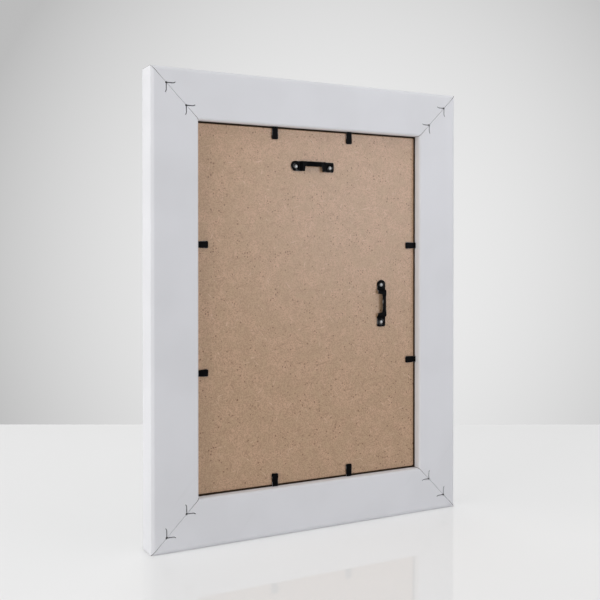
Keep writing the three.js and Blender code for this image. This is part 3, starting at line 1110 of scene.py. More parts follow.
@dataclass
class CornerNails:
    """V nails across the mitres, with rolled points and hooked ends, sunk below the back.

    Attributes:
        insets: Distance of the points from both outer sides, by the nail's place on the mitre.
        leg: Length of a leg.
        thickness: Thickness of the steel.
        depth: How deep the nail reaches.
        sink: How far its legs' ends lie below the back.
        point_sink: How far its point lies below the back.
        leg_start: Distance of a leg's first station from the point.
        straight_stations: Stations of the straight part of a leg.
        hook_run: Length of the curved end of a leg.
        hook_rise: How far the end curves outward.
        hook_stations: Stations of the curved end.
        roll_diameter: Diameter of the rolled point.
        roll_rim: Size of its soft rim.
        roll_bow: How far the rim's middle keeps from its corner, as a share of its size.
        roll_around: Points around it.
        roll_rise: How far it ends above the legs' lower side.
        slot_gap: Gap beside the steel at the point.
        slot_end_gap: Gap beside the steel at the ends of the legs.
        slot_below: Room below the steel.
        slot_above: How far the slots' cutters stand out of the back.
        hole_rise: How far the holes at the points end above the slots' floor.
        hole_above: How far the holes' cutters stand out of the back.
    """

    insets: dict[str, float] = field(default_factory=lambda: {"outer": 12.5 * MM, "inner": 29 * MM})
    leg: float = 7.5 * MM
    thickness: float = 0.5 * MM
    depth: float = 8 * MM
    sink: float = 0.2 * MM
    point_sink: float = 0.7 * MM
    leg_start: float = 0.6 * MM
    straight_stations: int = 6
    hook_run: float = 2.2 * MM
    hook_rise: float = 0.9 * MM
    hook_stations: int = 9
    roll_diameter: float = 1.5 * MM
    roll_rim: float = 0.2 * MM
    roll_bow: float = 0.3
    roll_around: int = 24
    roll_rise: float = 0.2 * MM
    slot_gap: float = 0.22 * MM
    slot_end_gap: float = 0.08 * MM
    slot_below: float = 0.3 * MM
    slot_above: float = 0.5 * MM
    hole_rise: float = 0.4 * MM
    hole_above: float = 0.8 * MM

    def path(self, over: float) -> np.ndarray:
        """Gives the line of the V: straight legs along x and z whose ends leave them as a parabola.

        Args:
            over: Length added at the ends.

        Returns:
            Points as rows of inward and along, from one end by the point to the other.
        """
        hook_start = self.leg - self.hook_run
        run = np.concatenate([
            np.linspace(self.leg_start, hook_start, self.straight_stations)[:-1],
            np.linspace(hook_start, self.leg + over, self.hook_stations),
        ])
        past = np.maximum(run - hook_start, 0)
        leg = np.stack([run, -self.hook_rise * (past / self.hook_run) ** 2], axis=-1)
        return np.concatenate([leg[::-1], np.zeros((1, 2)), leg[:, ::-1]])

    def band(self, over: float, gaps: Span, low: float, tops: Span) -> Surface:
        """Sweeps an upright rectangle along the V, with mitred bends.

        At a bend the sides lie along the sum of both stretches' normals over one plus their dot product.

        Args:
            over: Length added at the ends.
            gaps: Growth of the half thickness at the point and at the ends.
            low: Height of the lower side.
            tops: Heights of the upper side at the point and at the ends.

        Returns:
            The band, with y as the height.
        """
        path = self.path(over)
        along = np.diff(path, axis=0)
        along /= np.linalg.norm(along, axis=1, keepdims=True)
        normals = np.stack([-along[:, 1], along[:, 0]], axis=-1)
        before = np.concatenate([normals[:1], normals])
        after = np.concatenate([normals, normals[-1:]])
        mitre = (before + after) / (1 + np.sum(before * after, axis=1, keepdims=True))
        share = np.clip(np.linalg.norm(path, axis=1) / self.leg, 0, 1)
        offset = mitre * (self.thickness / 2 + gaps[0] + (gaps[1] - gaps[0]) * share)[:, None]
        top = tops[0] + (tops[1] - tops[0]) * share
        bottom = np.full_like(top, low)
        left, right = path + offset, path - offset
        sides = [(left, bottom), (right, bottom), (right, top), (left, top)]
        rows = [np.stack([flat[:, 0], height, flat[:, 1]], axis=-1) for flat, height in sides]
        return Surface.from_rings(np.stack(rows, axis=1))

    def roll(self, grow: float, low: float, high: float) -> Surface:
        """Makes the round bar of the rolled point from low to high, with a soft rim at the top.

        Args:
            grow: Growth of the radius.
            low: Height of the lower end.
            high: Height of the upper end.

        Returns:
            The bar, with y as the height.
        """
        radius = self.roll_diameter / 2 + grow
        rim = self.roll_rim
        bow = self.roll_bow * rim
        profile = [[radius, low], [radius, high - rim], [radius - bow, high - bow], [radius - rim, high]]
        return turned(np.array(profile), self.roll_around)

    def spots(self, whole: Whole) -> list[Spot]:
        """Lists the nails' points, each in the axes of the side that names its corner.

        Args:
            whole: Box of the whole.

        Returns:
            One spot for each nail.
        """
        found = []
        for side in Side:
            axes = side.axes()
            for which, inset in self.insets.items():
                local = np.array([inset - whole.half(side), 0.0, inset - whole.length(side) / 2])
                found.append(Spot(f"{side.corner}_{which}", local @ axes + whole.middle(), axes))
        return found

    def slots(self, whole: Whole) -> tuple[Surface, Surface]:
        """Makes the cutters of all nail slots.

        Args:
            whole: Box of the whole.

        Returns:
            The bands, and the round holes at the points.
        """
        back = whole.high[1]
        low = back - self.depth - self.sink - self.slot_below
        above = back + self.slot_above
        band = self.band(self.slot_end_gap, (self.slot_gap, self.slot_end_gap), low, (above, above))
        hole = self.roll(self.slot_gap, low + self.hole_rise, back + self.hole_above)
        spots = self.spots(whole)
        bands, holes = (Surface.joined([spot.carry(shape) for spot in spots]) for shape in (band, hole))
        return bands, holes

    def build(self, whole: Whole, finish: Finish, effects: Effects) -> None:
        """Builds and dresses every nail.

        Args:
            whole: Box of the whole.
            finish: The nails' finish.
            effects: Shared effects.
        """
        back = whole.high[1]
        low = back - self.depth - self.sink
        point_top = back - self.point_sink
        band = self.band(0.0, (0.0, 0.0), low, (point_top, back - self.sink))
        roll = self.roll(0.0, low + self.roll_rise, point_top)
        # Painted shade: the rolled point is painted dark for the hole at the nail's point.
        roll.edge = np.ones(len(roll.points))
        shape = Surface.joined([band, roll])
        material = finish.build(effects)
        for spot in self.spots(whole):
            piece = spot.carry(shape).as_object(f"v_nail_{spot.name}")
            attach(piece, FRAME_BODY)
            dress(piece, finish, material, f"corner_nail_{spot.name}")


@dataclass
class RetainingPoints:
    """Bendable steel points, each one strip from its tip in the rail to the tip of its tab.

    Attributes:
        wall_gap: Distance of the bend from the rabbet wall.
        tab_length: Length of the tab from the bend.
        shank_length: Length of the shank in the rail.
        point_length: Length of the shank's pointed end.
        point_width: Width of the shank's tip.
        root_width: Width at the bend and of the shank.
        tip_width: Width of the tab near its tip.
        tip_radius: Radius of the tab's corners.
        thickness: Thickness of the steel.
        slope: Fall of the tab towards the board.
        slot_gap: Gap round the shank in the rail.
        slot_over: How far the slots' cutters stand out of the rabbet wall.
        bend_before: Length before the hinge line over which the strip bends.
        bend_after: Length after the hinge line over which the strip bends.
        shank_stretch: How far the shank's stations keep from its shoulder and from the wall.
        bend_stretch: Where the close stations of the bend end and the tab's begin, past the bend.
        corner_margin: How far the tab's stations keep from its corners.
        flat_stations: Stations of the shank and of the tab's flat.
        bend_stations: Stations of the bend.
        corner_steps: Chords in a corner of the tab.
        end_steps: Chords in the rounding of its end.
    """

    wall_gap: float = 0.6 * MM
    tab_length: float = 10 * MM
    shank_length: float = 10 * MM
    point_length: float = 3.5 * MM
    point_width: float = 0.5 * MM
    root_width: float = 5 * MM
    tip_width: float = 6 * MM
    tip_radius: float = 1.3 * MM
    thickness: float = 0.6 * MM
    slope: float = math.radians(1.5)
    slot_gap: float = 0.2 * MM
    slot_over: float = 1 * MM
    bend_before: float = 0.5 * MM
    bend_after: float = 1.3 * MM
    shank_stretch: Span = (0.5 * MM, 0.1 * MM)
    bend_stretch: Span = (2 * MM, 3 * MM)
    corner_margin: float = 0.2 * MM
    flat_stations: int = 5
    bend_stations: int = 27
    corner_steps: int = 8
    end_steps: int = 3

    def strip(self) -> Surface:
        """Sweeps the sheet's section from the shank's tip to the tab's tip.

        Half the width grows from the shank's tip, stays even to the bend, widens to the tip and follows a
        quarter circle at its corners. The height falls with the slope past the bend.

        Returns:
            The strip, with x along it, y through it and z across it.
        """
        start = -self.wall_gap - self.shank_length
        shoulder = start + self.point_length
        corner = self.tab_length - self.tip_radius
        rounding = quarter_turn(self.end_steps)[1:]
        section = StripSection(self.thickness / 2)
        soft = section.edge_radius
        shank = (shoulder + self.shank_stretch[0], -self.wall_gap - self.shank_stretch[1])
        run = np.concatenate([
            [start, shoulder],
            np.linspace(*shank, self.flat_stations),
            np.linspace(-self.wall_gap, self.bend_stretch[0], self.bend_stations),
            np.linspace(self.bend_stretch[1], corner - self.corner_margin, self.flat_stations),
            corner + (self.tip_radius - soft) * np.sin(quarter_turn(self.corner_steps)),
            self.tab_length - soft + soft * np.sin(rounding),
        ])
        widths = np.array([self.point_width, self.root_width, self.root_width, self.tip_width])
        half = np.interp(run, [start, shoulder, 0, corner], widths / 2)
        past = np.clip((run - corner) / self.tip_radius, 0, 1)
        half -= self.tip_radius * (1 - np.sqrt(1 - past * past)) * (run > corner)
        half[-self.end_steps:] = half[-self.end_steps - 1]
        shrink = np.zeros_like(run)
        shrink[-self.end_steps:] = soft * (1 - np.cos(rounding))
        fall = -np.maximum(run, 0) * math.sin(self.slope)
        lines = np.stack([run, fall, np.zeros_like(run)], axis=-1)
        sideways = np.broadcast_to([0.0, 0.0, 1.0], lines.shape)
        upward = np.broadcast_to(TO_BACK, lines.shape)
        return Surface.from_rings(section.rings(lines, sideways, upward, half, shrink), section.edge())

    def slot(self) -> Surface:
        """Makes the cutter of a shank's slot, a flat wedge a little larger than the shank.

        Returns:
            The cutter, with x along the strip.
        """
        grow = self.slot_gap
        start = -self.wall_gap - self.shank_length
        run = np.array([start - grow, start + self.point_length, -self.wall_gap + self.slot_over])
        half = np.array([self.point_width, self.root_width, self.root_width]) / 2 + grow
        high = np.full(len(run), self.thickness / 2 + grow)
        sides = [(-half, -high), (half, -high), (half, high), (-half, high)]
        rows = [np.stack([run, up, across], axis=-1) for across, up in sides]
        return Surface.from_rings(np.stack(rows, axis=1))

    def spots(self, joints: list[dict[str, Any]]) -> list[Spot]:
        """Lists the points by the body of their tab, each in axes along, through and across its strip.

        The strip runs along the cross product of the back's direction with the hinge axis.

        Args:
            joints: The record's joints.

        Returns:
            One spot for each joint, at the bend.
        """
        found = []
        for joint in joints:
            across = np.array(joint["axis"], float)
            axes = np.stack([np.cross(TO_BACK, across), TO_BACK, across])
            found.append(Spot(joint["child"], np.array(joint["pos_m"], float), axes))
        return found

    def slots(self, joints: list[dict[str, Any]]) -> Surface:
        """Makes the cutters of all shank slots."""
        slot = self.slot()
        return Surface.joined([spot.carry(slot) for spot in self.spots(joints)])

    def build(self, joints: list[dict[str, Any]], finish: Finish, effects: Effects) -> None:
        """Builds and dresses every point.

        Args:
            joints: The record's joints.
            finish: The points' finish.
            effects: Shared effects.
        """
        shape = self.strip()
        material = finish.build(effects)
        for spot in self.spots(joints):
            body = spot.name
            place = body.removeprefix("tab_")
            piece = spot.carry(shape).as_object(f"point_{place}")
            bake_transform(piece)
            dress(piece, finish, material, f"tab_{place}", f"shank_{place}")


def carve(piece: bpy.types.Object, tools: list[bpy.types.Object]) -> None:
    """Cuts closed tools out of a piece and leaves the cut mesh with no modifier.

    Args:
        piece: The piece to cut.
        tools: The tools, which stay as they are.
    """
    for tool in tools:
        cut = piece.modifiers.new(tool.name, "BOOLEAN")
        cut.operation = "DIFFERENCE"
        cut.solver = "MANIFOLD"
        cut.object = tool
    graph = bpy.context.evaluated_depsgraph_get()
    mesh = bpy.data.meshes.new_from_object(piece.evaluated_get(graph))
    mesh.name = piece.name
    piece.modifiers.clear()
    uncut = piece.data
    piece.data = mesh
    bpy.data.meshes.remove(uncut)
    soften(mesh)


@dataclass
class Moulding:
    """Four mitred rails of one white plastic moulding, with slots for the nails and points.

    Attributes:
        back_width: Width of the back from the outer side to the rabbet wall.
        lip_width: Width of the lip in front of the glass.
        lip_thickness: Thickness of the lip at the sight edge.
        front_fall: How far the front falls towards the sight edge.
        outer_back_radius: Radius where the back turns into the outer bevel.
        outer_bevel_tilt: Tilt of the outer bevel.
        outer_bevel_drop: How far the outer bevel falls before it meets the outer side.
        crease_radius: Radius of the crease between them.
        inner_back_radius: Radius of the inner back edge.
        outer_front_radius: Radius of the outer front edge.
        sight_radius: Radius of the sight edge.
        mitre_gap: Gap between two rails.
        arc_steps: Chords in each rounded edge.
        support: Distance of the lines that keep the flats flat.
        joint_shade: Width of the dusty line beside a mitre.
        shade_and_dust_fade: How far above the board's back the painted shade and dust beside the board end.
        shade_and_dust_reach: How far from the rabbet wall the painted shade and dust on its seat reach.
    """

    back_width: float = 39.5 * MM
    lip_width: float = 6 * MM
    lip_thickness: float = 5.7 * MM
    front_fall: float = 3 * MM
    outer_back_radius: float = 3 * MM
    outer_bevel_tilt: float = math.radians(30)
    outer_bevel_drop: float = 1.5 * MM
    crease_radius: float = 0.8 * MM
    inner_back_radius: float = 2.2 * MM
    outer_front_radius: float = 2 * MM
    sight_radius: float = 1.5 * MM
    mitre_gap: float = 0.3 * MM
    arc_steps: int = 14
    support: float = 0.15 * MM
    joint_shade: float = 0.05 * MM
    shade_and_dust_fade: float = 0.4 * MM
    shade_and_dust_reach: float = 2 * MM

    def section(self, whole: Whole, board_back: float) -> tuple[np.ndarray, np.ndarray]:
        """Gives the rail's outline: flats joined by arcs, with a creased bevel at the outer back.

        The bevel starts where the outer round has turned by its tilt, and falls along that tilt until the
        crease's arc turns it into the outer side.

        Args:
            whole: Box of the whole.
            board_back: Height of the board's back, up to which the rabbet gets painted shade and dust all
                over.

        Returns:
            Rows of inward and to the back, and whether each of them gets painted shade and dust.
        """
        front, back = whole.low[1], whole.high[1]
        wall = self.back_width
        sight = wall + self.lip_width
        sight_front = front + self.front_fall
        seat = sight_front + self.lip_thickness
        clean = board_back + self.shade_and_dust_fade
        shade_and_dust_end = wall + self.shade_and_dust_reach
        inner, outer, crease = self.inner_back_radius, self.outer_back_radius, self.crease_radius
        soft, round_front = self.sight_radius, self.outer_front_radius
        tilt = self.outer_bevel_tilt
        bevel_turn = 90 + math.degrees(tilt)
        bevel_drop = self.outer_bevel_drop - outer * (1 - math.cos(tilt))
        flat_start = outer * math.sin(tilt) + bevel_drop / math.tan(tilt)
        crease_drop = self.outer_bevel_drop + crease * math.tan((math.pi / 2 - tilt) / 2)
        steps = self.arc_steps
        outline = with_support(np.concatenate([
            arc((sight - soft, sight_front + soft), soft, -90, 0, steps),
            [[sight, seat], [shade_and_dust_end, seat], [wall, seat], [wall, board_back], [wall, clean]],
            arc((wall - inner, back - inner), inner, 0, 90, steps),
            arc((flat_start, back - outer), outer, 90, bevel_turn, steps),
            arc((crease, back - crease_drop), crease, bevel_turn, 180, steps),
            arc((round_front, front + round_front), round_front, 180, 270, steps),
        ]), self.support)
        inward, to_back = outline.T
        # Painted shade, with dust: wall points below clean and seat points near the wall are marked for the
        # dark gap.
        on_wall = np.isclose(inward, wall) & (to_back < clean - self.support)
        on_seat = np.isclose(to_back, seat) & (inward < shade_and_dust_end + self.support / 2)
        return outline, on_wall | on_seat

    def rail(self, side: Side, whole: Whole) -> Surface:
        """Carries the section along a side, with both ends cut at 45 degrees.

        A point reaches half the rail's length, less its own distance inward and its share of the mitre's gap.

        Args:
            side: The side.
            whole: Box of the whole.

        Returns:
            The rail in its place.
        """
        section, dusty = self.section(whole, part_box("backing_board")[1][1])
        reach = whole.length(side) / 2 - section[:, 0] - self.mitre_gap / math.sqrt(2)
        inner_reach = reach - self.joint_shade
        along = np.stack([-reach, -inner_reach, inner_reach, reach])
        inward = np.broadcast_to(section[:, 0] - whole.half(side), along.shape)
        to_back = np.broadcast_to(section[:, 1], along.shape)
        rail = Surface.from_rings(np.stack([inward, to_back, along], axis=-1))
        # Mitre ends take dirt in the joint; the marked rabbet points take painted shade with dust.
        joint = np.ones(len(section))
        rail.edge = np.concatenate([joint, dusty, dusty, joint])
        return rail.placed(whole.middle(), side.axes())

    def build(self, whole: Whole, cutters: list[Surface], finishes: dict[GrainAxis, Finish],
              effects: Effects) -> None:
        """Builds, cuts and dresses the rails.

        Args:
            whole: Box of the whole.
            cutters: Slots to cut.
            finishes: The finish for each direction of the moulding.
            effects: Shared effects.
        """
        # Painted shade: the slots' walls take the full edge value, which darkens them.
        for cutter in cutters:
            cutter.edge = np.ones(len(cutter.points))
        tools = [cutter.as_object(f"slot_cutter_{index}") for index, cutter in enumerate(cutters)]
        materials = {axis: finish.build(effects) for axis, finish in finishes.items()}
        for side in Side:
            axis = GrainAxis.ALONG_Z if side.upright else GrainAxis.ALONG_X
            piece = self.rail(side, whole).as_object(f"moulding_{side.label}")
            carve(piece, tools)
            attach(piece, FRAME_BODY)
            dress(piece, finishes[axis], materials[axis], f"rail_{side.label}")
        for tool in tools:
            bpy.data.meshes.remove(tool.data)


@dataclass
class Sheets:
    """Glass, blank card and hardboard, each a slab with softened arrises.

    Attributes:
        arris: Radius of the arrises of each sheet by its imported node.
        corner: Radius of the sheets' corners.
        steps: Chords in each rounding.
    """

    arris: dict[str, float] = field(default_factory=lambda: {
        "glazing": 0.3 * MM, "picture_card": 0.08 * MM, "backing_board": 0.35 * MM})
    corner: float = 0.5 * MM
    steps: int = 4

    def slab(self, low: np.ndarray, high: np.ndarray, arris: float) -> Surface:
        """Stacks rounded rectangles from front to back, drawn in by a quarter circle at both arrises.

        Args:
            low: Lowest corner.
            high: Highest corner.
            arris: Radius of the arrises.

        Returns:
            The slab.
        """
        angles = quarter_turn(self.steps)
        margin = 2 * arris
        draw = arris * (1 - np.sin(angles))
        rise = arris * (1 - np.cos(angles))
        inset = np.concatenate([[margin], draw, draw[::-1], [margin]])
        height = np.concatenate([[low[1]], low[1] + rise, high[1] - rise[::-1], [high[1]]])
        half = (high - low)[[0, 2]] / 2
        middle = (high + low)[[0, 2]] / 2
        sign = np.repeat([[1, 1], [-1, 1], [-1, -1], [1, -1]], self.steps + 1, axis=0)
        unit = np.concatenate([arc((0, 0), 1, start, start + 90, self.steps) for start in (0, 90, 180, 270)])
        core = sign * (half - self.corner - margin)
        reach = self.corner + margin - inset
        flat = middle + core + reach[:, None, None] * unit
        level = np.broadcast_to(height[:, None], flat.shape[:2])
        return Surface.from_rings(np.stack([flat[..., 0], level, flat[..., 1]], axis=-1))

    def build(self, finishes: dict[str, Finish], effects: Effects) -> None:
        """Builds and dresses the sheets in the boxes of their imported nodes.

        Args:
            finishes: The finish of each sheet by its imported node.
            effects: Shared effects.
        """
        for node, finish in finishes.items():
            low, high = (np.array(corner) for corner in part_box(node))
            piece = self.slab(low, high, self.arris[node]).as_object(f"{node}_sheet")
            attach(piece, FRAME_BODY)
            dress(piece, finish, finish.build(effects), node)


@dataclass
class Hangers:
    """Stamped bridge hangers, each held by two domed rivets.

    Attributes:
        rivet_spacing: Distance between the rivets.
        thickness: Thickness of the steel.
        inner_reach: Reach of the feet on the strap's open side, from the rivet line.
        outer_reach: Reach of the feet on the strap's side.
        square_end: Length of the square end past its rivet.
        square_radius: Radius of its corners.
        round_end: Length of the round end past its rivet.
        round_radius: Radius of its corners.
        strap_width: Width of the strap.
        strap_tilt: Tilt of the strap.
        bridge_raise: Height of the strap over the feet.
        bend_start: Distance of the outer bend from the middle.
        bend_end: Distance of the upper bend from the middle.
        foot_end: Where the raised feet end, from the middle.
        strap_start: Where the strap has its own width, from the middle.
        twist_end: Where the strap has its full tilt, from the middle.
        stretch_stations: Stations of the strap, its twist, its shoulder and the raised foot.
        bend_margins: How far the stations of the bends reach past them, inward and outward.
        bend_stations: Stations of the bends.
        corner_steps: Chords in a corner of an end.
        end_steps: Chords in the rounding of an end.
        collar_inner: Inner radius of the collars.
        collar_outer: Outer radius of the collars.
        collar_height: Height of the collars over the sheet.
        collar_sink: How far they reach into the sheet, as a share of their height.
        collar_wear: How worn their tops are.
        collar_points: Points of a collar's section.
        collar_around: Sections around a collar.
        rivet_head: Radius of a rivet's head.
        rivet_head_height: Height of a rivet's head.
        rivet_shank: Radius of a rivet's shank.
        rivet_tail: Radius of a rivet's tail.
        rivet_tail_thickness: Thickness of a rivet's tail.
        rivet_soft: Size of a rivet's soft rims.
        rivet_around: Points around a rivet.
        dome_end: Angle, in degrees, at which the head's flat top begins.
        dome_points: Points of the head's ellipse.
        rim_unshaded: Share of a head's radius that is free of painted shade.
    """

    rivet_spacing: float = 33 * MM
    thickness: float = 0.8 * MM
    inner_reach: float = 3.7 * MM
    outer_reach: float = 4.8 * MM
    square_end: float = 4.2 * MM
    square_radius: float = 1.4 * MM
    round_end: float = 4.3 * MM
    round_radius: float = 3.8 * MM
    strap_width: float = 4.2 * MM
    strap_tilt: float = math.radians(20)
    bridge_raise: float = 2 * MM
    bend_start: float = 12.55 * MM
    bend_end: float = 10.65 * MM
    foot_end: float = 8.85 * MM
    strap_start: float = 7.95 * MM
    twist_end: float = 5.35 * MM
    stretch_stations: tuple[int, ...] = (6, 10, 16, 4)
    bend_margins: Span = (0.3 * MM, 0.5 * MM)
    bend_stations: int = 20
    corner_steps: int = 12
    end_steps: int = 3
    collar_inner: float = 2.15 * MM
    collar_outer: float = 3.05 * MM
    collar_height: float = 0.5 * MM
    collar_sink: float = 0.5
    collar_wear: float = 0.9
    collar_points: int = 20
    collar_around: int = 48
    rivet_head: float = 1.9 * MM
    rivet_head_height: float = 1.0 * MM
    rivet_shank: float = 1.3 * MM
    rivet_tail: float = 2.5 * MM
    rivet_tail_thickness: float = 0.6 * MM
    rivet_soft: float = 0.1 * MM
    rivet_around: int = 40
    dome_end: float = 86.0
    dome_points: int = 18
    rim_unshaded: float = 0.55

    def stations(self, soft: float) -> tuple[np.ndarray, ...]:
        """Gives the places along the hanger, the rounding of its ends and the drawing in of its width there.

        Places are close together at the corners of the ends, the bends, the shoulders and the twist.

        Args:
            soft: Radius of the sheet's rounded edges.

        Returns:
            Place along, how far the section is drawn in, and how far the width is drawn in at the corners.
        """
        turn = quarter_turn(self.corner_steps)
        rounding = quarter_turn(self.end_steps)[1:]
        half_span = self.rivet_spacing / 2
        limits = [0.0, self.twist_end, self.strap_start, self.foot_end, self.bend_end]
        stretches = zip(limits, limits[1:], self.stretch_stations)
        bends = (self.bend_end - self.bend_margins[0], self.bend_start + self.bend_margins[1])
        inner = np.concatenate([
            [limits[0]],
            *[np.linspace(start, end, count)[1:] for start, end, count in stretches],
            np.linspace(*bends, self.bend_stations),
            [half_span],
        ])
        halves = []
        ends = ((self.square_end, self.square_radius), (self.round_end, self.round_radius))
        for length, radius in ends:
            reach = half_span + length - soft
            drawn = radius * (1 - np.cos(turn))
            corner = reach - radius + radius * np.sin(turn)
            place = np.concatenate([inner, corner, reach + soft * np.sin(rounding)])
            shrink = np.concatenate([np.zeros(len(inner) + len(corner)), soft * (1 - np.cos(rounding))])
            narrow = np.concatenate([np.zeros(len(inner)), drawn, np.full(len(rounding), drawn[-1])])
            order = np.argsort(place, kind="stable")
            halves.append((place[order], shrink[order], narrow[order]))
        signs = (-1, 1, 1)
        return tuple(np.concatenate([sign * low[:0:-1], high]) for sign, low, high in zip(signs, *halves))

    def sheet(self) -> Surface:
        """Sweeps the sheet's section along the hanger.

        The strap's middle line rises over the bends as a smooth step, its open edge steps in at the
        shoulders, and its cross direction tilts to the strap's angle over the twist.

        Returns:
            The sheet, with x along it, y as its height over the board and z across it.
        """
        section = StripSection(self.thickness / 2)
        run, shrink, narrow = self.stations(section.edge_radius)
        out = np.abs(run)
        rise = self.bridge_raise * (1 - smooth(out, self.bend_end, self.bend_start)) + self.thickness / 2
        in_strap = 1 - smooth(out, self.strap_start, self.foot_end)
        low = -self.inner_reach + (self.inner_reach + self.outer_reach - self.strap_width) * in_strap
        tilt = self.strap_tilt * (1 - smooth(out, self.twist_end, self.strap_start))
        half = (self.outer_reach - low) / 2
        lines = np.stack([run, rise, (self.outer_reach + low) / 2], axis=-1)
        slope = np.gradient(rise, run)
        along = np.stack([np.ones_like(slope), slope, np.zeros_like(slope)], axis=-1)
        along /= np.linalg.norm(along, axis=1, keepdims=True)
        sideways = np.stack([np.zeros_like(tilt), -np.sin(tilt), np.cos(tilt)], axis=-1)
        upward = np.cross(sideways, along)
        rings = section.rings(lines, sideways, upward, (half - narrow) / np.cos(tilt), shrink)
        return Surface.from_rings(rings, section.edge())

    def collar(self, place: float) -> Surface:
        """Turns a half-round lip about a rivet's axis, its foot sunk into the sheet.

        The lip's section is half its width times the cosine outward and its height times the sine upward.

        Args:
            place: Place of the rivet along the hanger.

        Returns:
            The collar, a closed ring.
        """
        middle = (self.collar_inner + self.collar_outer) / 2
        half = (self.collar_outer - self.collar_inner) / 2
        angles = np.linspace(0, 2 * math.pi, self.collar_points, endpoint=False)
        around = np.linspace(0, 2 * math.pi, self.collar_around, endpoint=False)[:, None]
        radius = middle + half * np.cos(angles)
        rise = np.where(np.sin(angles) > 0, 1.0, self.collar_sink) * np.sin(angles)
        height = np.broadcast_to(self.thickness + self.collar_height * rise, (len(around), len(angles)))
        rings = np.stack([place + np.cos(around) * radius, height, np.sin(around) * radius], axis=-1)
        return Surface.from_rings(rings, edge=np.clip(np.sin(angles), 0, 1) * self.collar_wear, loop=True)

    def rivet(self, low: float, high: float) -> Surface:
        """Turns a rivet's profile: flat tail, shank, and a head with the cosine and sine of an ellipse.

        Args:
            low: Height of the tail's end.
            high: Height of the head's top.

        Returns:
            The rivet about the y axis.
        """
        soft = self.rivet_soft
        head, tail = self.rivet_head, self.rivet_tail
        seat = high - self.rivet_head_height
        tail_top = low + self.rivet_tail_thickness
        angles = np.radians(np.linspace(0, self.dome_end, self.dome_points))
        rise = (high - seat - soft) * np.sin(angles)
        profile = np.concatenate([
            [[tail - soft, low], [tail, low + soft], [tail, tail_top - soft], [tail - soft, tail_top]],
            [[self.rivet_shank, tail_top], [self.rivet_shank, seat], [head - soft, seat]],
            np.stack([head * np.cos(angles), seat + soft + rise], axis=-1),
        ])
        rivet = turned(profile, self.rivet_around)
        # Painted shade: the head darkens towards its rim, where it meets the hanger.
        from_axis = np.hypot(rivet.points[:, 0], rivet.points[:, 2]) / head
        rivet.edge = smooth(from_axis, self.rim_unshaded, 1.0)
        return rivet

    def build(self, steel: Finish, bright: Finish, effects: Effects) -> None:
        """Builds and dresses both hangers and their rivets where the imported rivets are.

        Args:
            steel: The hangers' finish.
            bright: The rivets' finish.
            effects: Shared effects.
        """
        half_span = self.rivet_spacing / 2
        shape = Surface.joined([self.sheet(), self.collar(-half_span), self.collar(half_span)])
        steel_material, bright_material = steel.build(effects), bright.build(effects)
        for which in ("portrait", "landscape"):
            rivets = {end: np.array(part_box(f"rivet_{which}_{end}")) for end in ("square", "round")}
            places = {end: box.mean(axis=0) for end, box in rivets.items()}
            along = (places["round"] - places["square"]) / self.rivet_spacing
            origin = (places["round"] + places["square"]) / 2
            origin[1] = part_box(f"hanger_{which}")[0][1]
            axes = np.stack([along, TO_BACK, np.cross(along, TO_BACK)])
            hanger = shape.placed(origin, axes).as_object(f"bridge_hanger_{which}")
            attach(hanger, FRAME_BODY)
            dress(hanger, steel, steel_material, f"hanger_{which}")
            for end, (low, high) in rivets.items():
                domed = self.rivet(low[1], high[1]).placed(places[end] * (1 - TO_BACK), np.eye(3))
                rivet = domed.as_object(f"dome_rivet_{which}_{end}")
                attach(rivet, FRAME_BODY)
                dress(rivet, bright, bright_material, f"rivet_{which}_{end}")


def looking(direction: Vector) -> Euler:
    """Gives the turn that points a lamp or camera along a direction, upright."""
    return direction.to_track_quat("-Z", "Y").to_euler()


def flat_sheet(name: str, corners: np.ndarray) -> bpy.types.Object:
    """Makes a single flat face through four corners.

    Args:
        name: Name of the object.
        corners: The corners in order, counterclockwise as seen from the front.

    Returns:
        The object.
    """
    mesh = bpy.data.meshes.new(name)
    mesh.from_pydata(corners.tolist(), [], [(0, 1, 2, 3)])
    return add_object(name, mesh)


@dataclass
class Lamp:
    """A soft rectangular lamp.

    Attributes:
        name: Name of the lamp.
        place: Where it stands.
        aim: Where it points.
        size: Its width and height.
        power: Its power in watts.
        colour: Colour of its light.
        glossy: Whether it shows in glossy surfaces.
    """

    name: str
    place: Place
    aim: Place
    size: Span
    power: float
    colour: Colour = WHITE
    glossy: bool = False

    def build(self, spared: bpy.types.Collection) -> None:
        """Adds the lamp to the scene.

        Args:
            spared: What a lamp that shows in glossy surfaces doesn't light.
        """
        light = bpy.data.lights.new(self.name, "AREA")
        light.shape = "RECTANGLE"
        light.size, light.size_y = self.size
        light.energy = self.power
        light.color = self.colour
        lamp = add_object(self.name, light)
        lamp.location = self.place
        lamp.rotation_euler = looking(Vector(self.aim) - Vector(self.place))
        lamp.visible_glossy = self.glossy
        if self.glossy:
            lamp.light_linking.receiver_collection = spared


